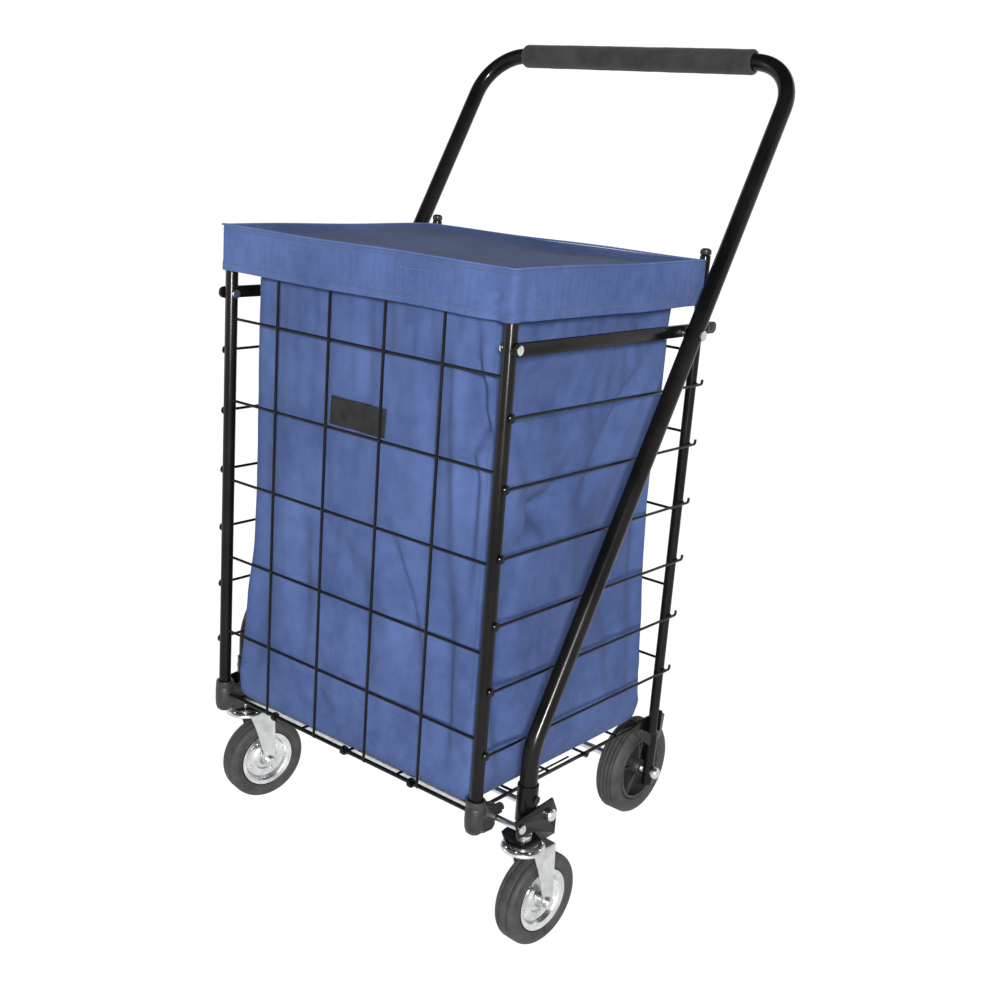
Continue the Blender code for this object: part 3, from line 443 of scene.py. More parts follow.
bm = bmesh.new()
for sign in sides.values():
    uprightTube(bm, sign * basket["half"], basket["depth"], basket["rearTube"], -0.018, basket["rearTop"])
panelWires(bm, basket["depth"], basket["rearTube"], (0.3766, -0.0137), basket["depth"] - 0.0028)
addPiece("rearPanel", bm, coated, "rear_frame", ["rear_frame"])


# Six wires a side, hinged on the front tube and hooked behind the rear one
sideWire = {"x": 0.2388, "eye": 0.0040, "eyeWire": 0.0015, "tail": 0.0095, "hook": 0.0062, "rivet": 0.0031}


def addSideWire(side, number, z):
    sign = sides[side]
    x = sign * sideWire["x"]
    depth = basket["depth"]
    bm = bmesh.new()
    end = depth + sideWire["tail"]
    corners = [(x, sideWire["eye"] - 0.0002, z), (x, end, z), (x, end, z + sideWire["hook"])]
    sweep(bm, roundedPath(corners, (0.0032,), 5), basket["wire"], 12)
    ring = []
    for k in range(16):
        angle = 2 * math.pi * k / 16
        ring.append((x, sideWire["eye"] * math.cos(angle), z + sideWire["eye"] * math.sin(angle)))
    sweep(bm, ring, sideWire["eyeWire"], 8, closed=True)
    tubeFace = basket["half"] + basket["frontTube"] * 0.8
    r = sideWire["rivet"]
    rivet = [(0, tubeFace), (r * 0.7, tubeFace), (r * 0.7, 0.2396), (r, 0.2398)]
    rivet += [(r * 0.8, 0.2404), (r * 0.4, 0.2407), (0, 0.2408)]
    lathe(bm, [(a, sign * b) for a, b in rivet], "X", (0, 0, z), 16)
    pin = sorted((sign * (basket["half"] + basket["rearTube"] * 0.7), x))
    sweep(bm, [(pin[0], depth, z), (pin[1], depth, z)], basket["wire"], 12)
    bead(bm, (sign * 0.2362, depth, z), (0.0018, 0.0032, 0.0032))
    name = f"side_wire_{number}_{side}"
    addPiece(f"sideWire{number}{side.title()}", bm, wireCoat, f"side_wires_{number}", [name])


for side in sides:
    for number, z in enumerate(basket["levels"], 1):
        addSideWire(side, number, z)
print("basket wires bent")


# The handle is one long tube with two bends a side
handle = {
    "half": 0.2566,  # centre to leg
    "tube": 0.011,
    "footY": 0.0617,
    "foot": -0.0198,
    "topZ": 0.8818,
    "slope": 0.56,  # leg's lean, back for each metre up
    "lineY": 0.0207,
}


def legLineY(z):
    return handle["lineY"] + handle["slope"] * z


bm = bmesh.new()
bendZ = (handle["footY"] - handle["lineY"]) / handle["slope"]
topY = legLineY(handle["topZ"])
leftLeg = [
    (-handle["half"], handle["footY"], handle["foot"]),
    (-handle["half"], handle["footY"], bendZ),
    (-handle["half"], topY, handle["topZ"]),
]
rightLeg = [(-x, y, z) for x, y, z in reversed(leftLeg)]
sweep(bm, roundedPath(leftLeg + rightLeg, (0.08, 0.065, 0.065, 0.08), 14), handle["tube"], 32)
addPiece("handleTube", bm, coated, "handle", ["handle_frame"])

grip = {
    "half": 0.190,
    "radius": 0.0165,
    "inside": 0.0114,
    "rings": 150,
    "around": 56,
    "give": 0.00035,  # how uneven the foam is
}
bm = bmesh.new()
profile = [(grip["inside"], -grip["half"] + 0.004), (grip["inside"], -grip["half"])]
for i in range(5):
    angle = math.pi / 2 * i / 4
    r = grip["radius"] - 0.003 + 0.003 * math.sin(angle)
    profile.append((r, -grip["half"] + 0.003 - 0.003 * math.cos(angle)))
body = np.linspace(-grip["half"] + 0.006, grip["half"] - 0.006, grip["rings"])
profile += [(grip["radius"], x) for x in body]
profile += [(r, -x) for r, x in reversed(profile[: 2 + 5])]
lathe(bm, profile, "X", (0, 0, 0), grip["around"])
for vertex in bm.verts:
    out = Vector((0, vertex.co.y, vertex.co.z))
    if out.length > grip["inside"] + 0.002:
        swell = noise.noise(vertex.co * 38) + 0.5 * noise.noise(vertex.co * 110)
        vertex.co += out.normalized() * grip["give"] * (swell - 0.6)
spot = (0, topY, handle["topZ"])
gripPiece = addPiece("handleGrip", bm, foam, "handle", ["handle_grip"], spot, angle=50)
print("handle bent")


# Casters, each turned a little about its stem
caster = {
    "trail": 0.030,
    "axleZ": -0.1345,
    "tyre": 0.0595,
    "rim": 0.0406,
    "half": 0.0160,
    "forkIn": 0.0195,
    "forkThick": 0.0022,
    "plateLow": -0.0570,
    "race": 0.0275,
    "turn": {"left": 11.0, "right": 4.0},
}


# sidewall with a bead ring and a rim guard, round shoulder, then the tread with its grooves
def tyreProfile(outer, inner, half, grooves, depth, groove):
    side = [
        (inner + 0.0002, -half * 0.72),
        (inner + 0.0010, -half * 0.86),
        (inner + 0.0024, -half * 0.94),
        (inner + 0.0034, -half * 0.94),
        (inner + 0.0040, -half * 0.90),
        (outer - (outer - inner) * 0.55, -half * 0.985),
        (outer - (outer - inner) * 0.50, -half * 1.0),
        (outer - (outer - inner) * 0.46, -half * 0.985),
        (outer - 0.0062, -half * 0.97),
        (outer - 0.0036, -half * 0.90),
        (outer - 0.0018, -half * 0.80),
        (outer - 0.0007, -half * 0.68),
    ]
    tread = []
    for centre in grooves:
        tread += [
            (outer - 0.0002, centre - groove * 0.75),
            (outer - 0.0008, centre - groove * 0.55),
            (outer - depth, centre - groove * 0.40),
            (outer - depth, centre + groove * 0.40),
            (outer - 0.0008, centre + groove * 0.55),
            (outer - 0.0002, centre + groove * 0.75),
        ]
    return side + tread + [(r, -x) for r, x in reversed(side)]


def addCasterWheel(side):
    turn = -math.radians(caster["turn"][side])
    trail = caster["trail"]
    x = sides[side] * handle["half"] + trail * math.sin(-turn)
    place = (x, handle["footY"] + trail * math.cos(turn), caster["axleZ"])
    half = caster["half"]
    body = f"caster_wheel_{side}"
    grooves = (-half * 0.42, half * 0.42)
    bm = bmesh.new()
    profile = tyreProfile(caster["tyre"], caster["rim"], half, grooves, 0.0022, 0.0026)
    lathe(bm, profile, "X", (0, 0, 0), 96)
    name = f"casterTyre{side.title()}"
    addPiece(name, bm, rubber, body, [f"caster_tyre_{side}"], place, turn, angle=50)
    bm = bmesh.new()
    face = [
        (0.0044, -0.0183),
        (0.0078, -0.0183),
        (0.0090, -0.0174),
        (0.0098, -0.0120),
        (0.0112, -0.0096),
        (0.0150, -0.0086),
        (0.0170, -0.0078),
        (0.0182, -0.0062),
        (0.0205, -0.0054),
        (0.0282, -0.0054),
        (0.0302, -0.0062),
        (0.0318, -0.0088),
        (0.0330, -0.0116),
        (0.0348, -0.0128),
        (0.0378, -0.0132),
        (0.0398, -0.0140),
        (caster["rim"] - 0.0003, -0.0128),
    ]
    lathe(bm, mirrored(face), "X", (0, 0, 0), 72)
    for sign in (-1, 1):
        for k in range(4):  # rivets that hold the two pressings together
            angle = math.pi / 2 * k + 0.5
            spot = (sign * 0.0058, 0.0243 * math.cos(angle), 0.0243 * math.sin(angle))
            bead(bm, spot, (0.0011, 0.0024, 0.0024))
    name = f"casterRim{side.title()}"
    addPiece(name, bm, rimZinc, body, [f"caster_rim_{side}"], place, turn)


def addFork(side):
    turn = -math.radians(caster["turn"][side])
    low = caster["plateLow"]
    r = caster["race"]
    out = caster["forkIn"] + caster["forkThick"]
    bm = bmesh.new()
    crown = [
        (0.0050, low),
        (0.0120, low),
        (0.0135, low - 0.0014),
        (0.0190, low - 0.0014),
        (0.0205, low),
        (r - 0.0006, low),
        (r, low + 0.0006),
        (r, low + 0.0024),
        (r - 0.0010, low + 0.0042),
        (r - 0.0030, low + 0.0058),
        (0.0212, low + 0.0064),
        (0.0199, low + 0.0062),
        (0.0199, low + 0.0036),
        (0.0050, low + 0.0028),
    ]
    lathe(bm, crown, "Z", (0, 0, 0), 56)
    shelf = [(-out, 0.004), (out, 0.004), (out, 0.0335), (out - 0.002, 0.0355)]
    shelf += [(-out + 0.002, 0.0355), (-out, 0.0335)]
    plate(bm, shelf, "Z", low + 0.0002, low + 0.0026)
    for k in range(9):  # dimples pressed over the balls of the race
        angle = 2 * math.pi * k / 9 + 0.2
        spot = (0.0236 * math.cos(angle), 0.0236 * math.sin(angle), low + 0.0060)
        bead(bm, spot, (0.0019, 0.0019, 0.0013))
    leg = [(-0.0045, low + 0.0025), (0.0355, low + 0.0025), (0.0372, -0.0900), (0.0386, -0.1250)]
    endR = 0.0095
    for i in range(11):
        angle = math.pi * i / 10
        leg.append((caster["trail"] + endR * math.cos(angle), caster["axleZ"] - endR * math.sin(angle)))
    leg += [(0.0200, -0.1220), (0.0060, -0.0800)]
    for sign in (-1, 1):
        edges = sorted((sign * caster["forkIn"], sign * out))
        plate(bm, leg, "X", *edges)
    origin = (sides[side] * handle["half"], handle["footY"], 0)
    body = f"caster_fork_{side}"
    addPiece(f"casterFork{side.title()}", bm, zinc, body, [body], origin, turn, bevel=0.0007)


for side in sides:
    addCasterWheel(side)
    addFork(side)


# Ribbed tyres on spoked plastic hubs
rearWheel = {
    "x": 0.189,
    "y": 0.400,
    "z": -0.088,
    "tyre": 0.068,
    "rim": 0.0470,
    "half": 0.0175,
    "spokes": 5,
    "bore": 0.0059,
}


def addRearWheel(side):
    place = (sides[side] * rearWheel["x"], rearWheel["y"], rearWheel["z"])
    half = rearWheel["half"]
    bm = bmesh.new()
    grooves = [half * share for share in (-0.52, -0.17, 0.17, 0.52)]
    profile = tyreProfile(rearWheel["tyre"], rearWheel["rim"], half, grooves, 0.0022, 0.0026)
    lathe(bm, profile, "X", (0, 0, 0), 104)
    body = f"rear_wheel_{side}"
    name = f"rearTyre{side.title()}"
    addPiece(name, bm, rubber, body, [f"rear_tyre_{side}"], place, angle=50)
    bm = bmesh.new()
    bore = rearWheel["bore"]
    hub = [(bore, -half + 0.0003), (0.0100, -half + 0.0003), (0.0108, -half + 0.0011)]
    hub += [(0.0122, -0.0090), (0.0128, -0.0020)]
    lathe(bm, mirrored(hub), "X", (0, 0, 0), 40)
    lathe(bm, mirrored([(0.0120, -0.0016), (0.0440, -0.0016)]), "X", (0, 0, 0), 64)
    band = [(0.0424, -0.0020), (0.0418, -half * 0.80), (0.0424, -half * 0.90)]
    band += [(0.0455, -half * 0.93), (rearWheel["rim"] - 0.0002, -half * 0.86)]
    lathe(bm, mirrored(band), "X", (0, 0, 0), 72)
    for k in range(rearWheel["spokes"]):
        angle = 2 * math.pi * k / rearWheel["spokes"] + 0.3
        along = Vector((math.cos(angle), math.sin(angle)))
        across = Vector((-along.y, along.x))
        for lean in (-1, 1):
            ends = ((0.0110, 1.1), (0.0428, 5.2), (0.0428, 3.4), (0.0110, -0.6))
            outline = [tuple(along * a + across * 0.001 * b * lean) for a, b in ends]
            rib = [Vector(p) for p in outline]
            for sign in (-1, 1):
                edges = sorted((sign * 0.0012, sign * 0.0118))
                corners = [bm.verts.new((edges[0], p.x, p.y)) for p in rib]
                caps = [bm.verts.new((edges[1], p.x, p.y)) for p in rib]
                bm.faces.new(corners)
                bm.faces.new(caps[::-1])
                for i in range(4):
                    bm.faces.new((corners[i - 1], caps[i - 1], caps[i], corners[i]))
    name = f"rearHub{side.title()}"
    addPiece(name, bm, plastic, body, [f"rear_hub_{side}"], place, bevel=0.0003)


for side in sides:
    addRearWheel(side)
print("wheels turned")


# Wire floor, its latch and the corner caps
floor = {
    "half": 0.2135,
    "z": -0.0085,
    "crossZ": -0.0069,
    "front": 0.012,
    "back": 0.3771,
    "rail": 0.0024,
    "wire": 0.0018,
    "inner": [-0.087, 0, 0.087],
    "crossings": [0.012, 0.087, 0.162, 0.237, 0.312, 0.368],
    "latchY": 0.237,
    "latchX": 0.2185,
}
bm = bmesh.new()
lengthwise = [(-floor["half"], floor["rail"])]
lengthwise += [(x, floor["wire"]) for x in floor["inner"]]
lengthwise += [(floor["half"], floor["rail"])]
for x, r in lengthwise:
    ends = (floor["front"] - 0.001, floor["back"] - 0.0006, floor["back"])
    sweep(bm, [(x, y, floor["z"]) for y in ends], [r, r, r * 0.7], 12)
for y in floor["crossings"]:
    reach = floor["half"] + (0.0070 if y == floor["latchY"] else 0.0006)
    wire = [(-floor["half"] - 0.0006, y, floor["crossZ"]), (reach, y, floor["crossZ"])]
    sweep(bm, wire, floor["wire"], 12)
    for x, _ in lengthwise:
        bead(bm, (x, y, floor["z"] + 0.0010), (0.0027, 0.0027, 0.0016))
for x in (-0.124, 0.008, 0.125):  # loops that hinge on the front bottom wire
    ring = [(0.0031, x - 0.0024), (0.0058, x - 0.0024), (0.0061, x)]
    ring += [(0.0058, x + 0.0024), (0.0031, x + 0.0024)]
    lathe(bm, ring, "X", (0, 0, 0), 28)
    neck = [(x, 0.0026, -0.0050), (x, 0.0065, -0.0062), (x, floor["front"] + 0.001, floor["crossZ"])]
    sweep(bm, neck, [0.0017, 0.0018, 0.0016], 10)
addPiece("floorGrid", bm, wireCoat, "floor", ["floor_grid"])

bm = bmesh.new()
y, low, outX = floor["latchY"], floor["crossZ"], floor["latchX"]
inX = floor["half"] - 0.003
flat = low + 0.0034
corners = [(outX, y - 0.0040, low), (outX, y - 0.030, flat), (outX, y - 0.110, flat)]
corners += [(inX, y - 0.110, flat), (inX, y - 0.030, flat)]
sweep(bm, roundedPath(corners, (0.012, 0.0032, 0.0032), 6), 0.0013, 10)
eye = [(0.0022, outX - 0.0011), (0.0045, outX - 0.0011), (0.0045, outX + 0.0011), (0.0022, outX + 0.0011)]
lathe(bm, eye, "X", (0, y, low), 24)
addPiece("floorLatch", bm, wireCoat, "latch", ["floor_latch"])

cap = {"wall": 0.0125, "rodY": 0.034, "rodZ": -0.0153, "rod": 0.0044}


# ribbed sleeve on the tube's foot, its block, and the hook that lies over the cross rod
def addCornerCap(side):
    sign = sides[side]
    x = sign * basket["half"]
    bm = bmesh.new()
    sleeve = [(0.0084, 0.0185), (0.0105, 0.0190), (0.0118, 0.0180), (0.0122, 0.0120)]
    sleeve += [(0.0114, 0.0105), (0.0124, 0.0088), (cap["wall"], -0.0080), (0.0120, -0.0160)]
    sleeve += [(0.0105, -0.0215), (0.0070, -0.0245), (0, -0.0250), (0, -0.0085), (0.0084, -0.0085)]
    lathe(bm, sleeve, "Z", (x, 0, 0), 36)
    low, high = sorted((sign * 0.2185, sign * 0.2362))
    seat = cap["rodZ"] + cap["rod"]
    front = cap["rodY"] - cap["rod"]
    block = [
        (0.004, 0.0125),
        (0.018, 0.0075),
        (0.030, 0.0020),
        (0.0385, -0.0010),
        (0.0418, -0.0045),
        (0.0420, seat),
        (front, seat),
        (front, cap["rodZ"] - 0.0070),
        (front - 0.005, cap["rodZ"] - 0.0115),
        (0.008, cap["rodZ"] - 0.0105),
    ]
    plate(bm, block, "X", low, high)
    loop = []
    for k in range(15):  # rounded hook along the block's back
        angle = math.radians(-35 + 14 * k)
        spot = (0.0345 + 0.0095 * math.cos(angle), -0.0085 + 0.0110 * math.sin(angle))
        loop.append((x + sign * 0.0060, *spot))
    sweep(bm, loop[3:], 0.0022, 12)
    name = f"corner_cap_{side}"
    addPiece(f"cornerCap{side.title()}", bm, plastic, "front_panel", [name], bevel=0.0016)


for side in sides:
    addCornerCap(side)
print("floor and caps in place")


# Smooth shading for the pieces whose plain shape is already right
def smoothShading():
    group = bpy.data.node_groups.new("smoothShading", "GeometryNodeTree")
    for way in ("INPUT", "OUTPUT"):
        group.interface.new_socket("Geometry", in_out=way, socket_type="NodeSocketGeometry")
    start = group.nodes.new("NodeGroupInput")
    plain = group.nodes.new("GeometryNodeRemoveAttribute")
    plain.inputs["Name"].default_value = "custom_normal"
    smooth = group.nodes.new("GeometryNodeSetShadeSmooth")
    end = group.nodes.new("NodeGroupOutput")
    group.links.new(start.outputs[0], plain.inputs["Geometry"])
    group.links.new(plain.outputs[0], smooth.inputs["Geometry"])
    group.links.new(smooth.outputs[0], end.inputs[0])
    return group


kept = {
    "rear_tube_plug": plastic,
    "side_bar": coated,
    "leg_collar": coated,
    "caster_bracket": coated,
    "rear_leg": coated,
    "bar_front_rivet": zinc,
    "bar_rear_bolt": coated,
    "handle_pivot_bolt": zinc,
    "front_cross_rod": zinc,
    "rear_cross_rod": zinc,
    "rear_axle": zinc,
    "caster_stem": zinc,
    "caster_axle": zinc,
}
smoothGroup = smoothShading()
for name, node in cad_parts.items():
    for start, material in kept.items():
        if not name.startswith(start):
            continue
        node.data.materials.clear()
        node.data.materials.append(material)
        weld = node.modifiers.new("weld", "WELD")
        weld.merge_threshold = 0.00002
        smooth = node.modifiers.new("smooth", "NODES")
        smooth.node_group = smoothGroup
        if start in ("side_bar", "caster_bracket", "rear_leg"):
            edge = node.modifiers.new("edges", "BEVEL")
            edge.width = 0.0004
            edge.segments = 2
            edge.limit_method = "ANGLE"
            edge.angle_limit = math.radians(50)
        split = node.modifiers.new("edges kept", "EDGE_SPLIT")
        split.split_angle = math.radians(38)


# count points evenly round a rectangle with round corners, from the middle of its front edge
def roundRing(low, high, corner, count):
    outline = [((low[0] + high[0]) / 2, low[1])]
    for (x, y), start in (
        ((high[0] - corner, low[1] + corner), -90),
        ((high[0] - corner, high[1] - corner), 0),
        ((low[0] + corner, high[1] - corner), 90),
        ((low[0] + corner, low[1] + corner), 180),
    ):
        for i in range(13):
            angle = math.radians(start + 90 * i / 12)
            outline.append((x + corner * math.cos(angle), y + corner * math.sin(angle)))
    outline.append(outline[0])
    points = np.array(outline)
    lengths = np.concatenate([[0], np.cumsum(np.linalg.norm(np.diff(points, axis=0), axis=1))])
    at = np.linspace(0, lengths[-1], count, endpoint=False)
    return np.column_stack([np.interp(at, lengths, points[:, i]) for i in (0, 1)])


def smoothFold(value, centre, width, depth):
    return depth * math.exp(-(((value - centre) / width) ** 2))


def smoothStep(value, low, high):
    t = min(1.0, max(0.0, (value - low) / (high - low)))
    return t * t * (3 - 2 * t)


# lets the cloth settle, keeps no point further than most from where it was cut, and returns its points
def drape(piece, pins, settings, frames, most):
    group = piece.vertex_groups.new(name="sewn")
    for index, weight in pins.items():
        group.add([index], weight, "REPLACE")
    start = np.array([v.co for v in piece.data.vertices])
    modifier = piece.modifiers.new("settle", "CLOTH")
    cloth = modifier.settings
    cloth.vertex_group_mass = "sewn"
    for key, value in settings.items():
        setattr(cloth, key, value)
    modifier.collision_settings.use_collision = False
    modifier.point_cache.frame_start = 1
    modifier.point_cache.frame_end = frames
    scene = bpy.context.scene
    for number in range(1, frames + 1):
        scene.frame_set(number)
    graph = bpy.context.evaluated_depsgraph_get()
    settled = np.array([v.co for v in piece.evaluated_get(graph).data.vertices])
    piece.modifiers.remove(modifier)
    scene.frame_set(1)
    moved = settled - start
    length = np.linalg.norm(moved, axis=1, keepdims=True)
    moved *= np.minimum(1, most / np.maximum(length, 1e-9))
    return start, start + moved


def linkCloth(name, bm, material):
    bmesh.ops.recalc_face_normals(bm, faces=bm.faces)
    mesh = bpy.data.meshes.new(name)
    bm.to_mesh(mesh)
    bm.free()
    mesh.materials.append(material)
    mesh.shade_smooth()
    piece = bpy.data.objects.new(name, mesh)
    bpy.context.scene.collection.objects.link(piece)
    return piece


def setPoints(piece, points):
    piece.data.vertices.foreach_set("co", points.astype(np.float32).ravel())
    piece.data.update()


def hangOnBasket(piece, replaces=()):
    piece.matrix_world = stand
    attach(piece, "rear_frame")
    if replaces:
        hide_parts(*replaces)
    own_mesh(piece)
    return piece


bag = {
    "front": 0.0075,
    "back": 0.3680,
    "bottom": -0.0036,
    "top": 0.604,
    "around": 212,
    "rows": 70,
    "foot": 0.014,  # round of the bottom edge
    "wall": 0.0011,
    "slack": 0.0130,  # soft waves over the whole cloth
    "press": 3.4,  # how far the pressed folds go in
    "give": 0.0025,
}


# half width of the bag at a height: slack at mid height, spread out to the tubes near the bottom
def bagHalf(z, side):
    half = 0.2050 + 0.0040 * smoothStep(z, 0.34, 0.12) + 0.0075 * smoothStep(z, 0.14, 0.03)
    tuck = 0.0070 if side > 0 else 0.002
    return half - tuck * smoothStep(z, 0.035, 0.005)


# folds pressed into the bag: a line on the face, its width, and its depth (a minus stands out)
frontFolds = [
    ((0.050, 0.305), (0.105, 0.175), 0.013, 0.0062),
    ((0.072, 0.300), (0.130, 0.160), 0.014, -0.0030),
    ((-0.050, 0.290), (0.030, 0.215), 0.016, 0.0035),
    ((0.150, 0.560), (0.168, 0.300), 0.011, -0.0032),
    ((0.172, 0.560), (0.182, 0.270), 0.010, 0.0062),
    ((0.196, 0.480), (0.150, 0.545), 0.009, 0.0050),
    ((0.200, 0.430), (0.160, 0.500), 0.010, 0.0058),
    ((0.205, 0.400), (0.160, 0.445), 0.010, -0.0035),
    ((0.150, 0.260), (0.160, 0.030), 0.013, 0.0045),
    ((0.105, 0.560), (0.120, 0.330), 0.012, 0.0032),
    ((-0.100, 0.300), (-0.085, 0.120), 0.020, 0.0045),
    ((-0.175, 0.420), (-0.160, 0.100), 0.018, 0.0032),
    ((-0.010, 0.560), (0.010, 0.450), 0.014, 0.0026),
    ((-0.060, 0.070), (-0.040, 0.020), 0.010, 0.0030),
    ((0.010, 0.230), (0.030, 0.080), 0.018, 0.0038),
]
sideFolds = [
    ((0.300, 0.500), (0.190, 0.345), 0.010, 0.0070),
    ((0.330, 0.480), (0.110, 0.235), 0.017, -0.0036),
    ((0.040, 0.500), (0.190, 0.470), 0.026, 0.0062),
    ((0.090, 0.370), (0.135, 0.320), 0.016, 0.0066),
    ((0.060, 0.300), (0.170, 0.390), 0.013, 0.0045),
    ((0.130, 0.300), (0.190, 0.210), 0.014, -0.0030),
    ((0.055, 0.250), (0.060, 0.040), 0.014, 0.0042),
    ((0.025, 0.200), (0.028, 0.020), 0.007, 0.0034),
    ((0.230, 0.300), (0.290, 0.110), 0.022, 0.0038),
    ((0.335, 0.450), (0.330, 0.120), 0.012, 0.0036),
    ((0.350, 0.540), (0.270, 0.560), 0.008, 0.0040),
]


def foldDepth(folds, across, z):
    total = 0.0
    for (a0, z0), (a1, z1), width, depth in folds:
        run, rise = a1 - a0, z1 - z0
        share = min(1.0, max(0.0, ((across - a0) * run + (z - z0) * rise) / (run * run + rise * rise)))
        away = math.hypot(across - a0 - share * run, (z - z0 - share * rise) * 0.8)
        fade = 0.35 + 0.65 * math.sin(math.pi * share)
        total += bag["press"] * depth * fade * math.exp(-((away / width) ** 2))
    return total


def makeBag():
    count = bag["around"]
    bm = bmesh.new()
    rings = []
    foot = bag["foot"]
    levels = [(z, 0.0) for z in np.linspace(bag["top"], bag["bottom"] + foot, bag["rows"])]
    for angle in np.linspace(0.26, math.pi / 2, 6):
        levels.append((bag["bottom"] + foot - foot * math.sin(angle), foot * (1 - math.cos(angle))))
    for z, inset in levels:
        corner = 0.012 + 0.012 * smoothStep(z, 0.05, 0.30)
        right, left = bagHalf(z, 1), bagHalf(z, -1)
        low = (-left + inset, bag["front"] + inset)
        high = (right - inset, bag["back"] - inset)
        ring = roundRing(low, high, max(0.004, corner - inset * 0.4), count)
        points = []
        for k, (x, y) in enumerate(ring):
            onFront, onBack = y < bag["front"] + 0.012, y > bag["back"] - 0.012
            onRight = x > right - 0.012
            span = x if onFront or onBack else y
            seed = Vector((span * 9, z * 2.6, 1.7 if onFront else 5.1 if onRight else 8.3))
            waves = noise.noise(seed) + 0.4 * noise.noise(seed * 2.3) + 0.2 * noise.noise(seed * 6.1)
            hollow = bag["slack"] * waves
            if onFront:
                hollow += foldDepth(frontFolds, x, z)
            elif onBack:
                hollow += foldDepth(frontFolds, -x * 0.9, z)
            elif onRight:
                hollow += foldDepth(sideFolds, y, z)
            else:
                hollow += foldDepth(sideFolds, 0.376 - y, z)
            hollow *= smoothStep(z, 0.0, 0.06)
            if onFront:
                y += max(-0.0022, hollow + 0.0020)
            elif onBack:
                y -= max(-0.0022, hollow)
            elif onRight:
                x -= max(-0.0030, hollow)
            else:
                x += max(-0.0030, hollow)
            points.append(bm.verts.new((x, y, z)))
        rings.append(points)
    centre = Vector((0, 0.19, bag["bottom"]))
    last = [v.co.copy() for v in rings[-1]]
    for share in (0.86, 0.66, 0.44, 0.22):
        rings.append([bm.verts.new(centre + (p - centre) * share) for p in last])
    for low, high in zip(rings, rings[1:]):
        for k in range(count):
            bm.faces.new((low[k], low[k - 1], high[k - 1], high[k]))
    bm.faces.new(rings[-1])
    piece = linkCloth("linerBag", bm, bagCloth)
    pins = {i: 1.0 for i in range(count * 2)}
    for row in range(bag["rows"] - 3, len(rings)):
        for k in range(count):
            pins[row * count + k] = 1.0
    settings = {
        "quality": 6,
        "mass": 0.25,
        "tension_stiffness": 14,
        "compression_stiffness": 14,
        "shear_stiffness": 6,
        "bending_stiffness": 0.35,
        "air_damping": 3.0,
        "shrink_min": -0.012,
    }
    _, settled = drape(piece, pins, settings, 12, bag["give"])
    # room for the wires round it
    settled[:, 0] = np.clip(settled[:, 0], -0.2170, 0.2170)
    settled[:, 1] = np.clip(settled[:, 1], 0.0042, 0.3720)
    setPoints(piece, settled)
    return piece


def finishCloth(piece, wall):
    thickness = piece.modifiers.new("cloth thickness", "SOLIDIFY")
    thickness.thickness = wall
    thickness.offset = -1
    smooth = piece.modifiers.new("soft", "SUBSURF")
    smooth.levels = 1
    smooth.render_levels = 1


bagPiece = makeBag()
print("bag hung")

hood = {
    "half": 0.2378,
    "front": -0.0098,
    "back": 0.3715,
    "top": 0.6345,
    "hem": 0.5780,
    "edge": 0.0035,
    "columns": 112,
    "rows": 92,
    "skirt": 17,
    "sag": 0.010,
    "wall": 0.0012,
}


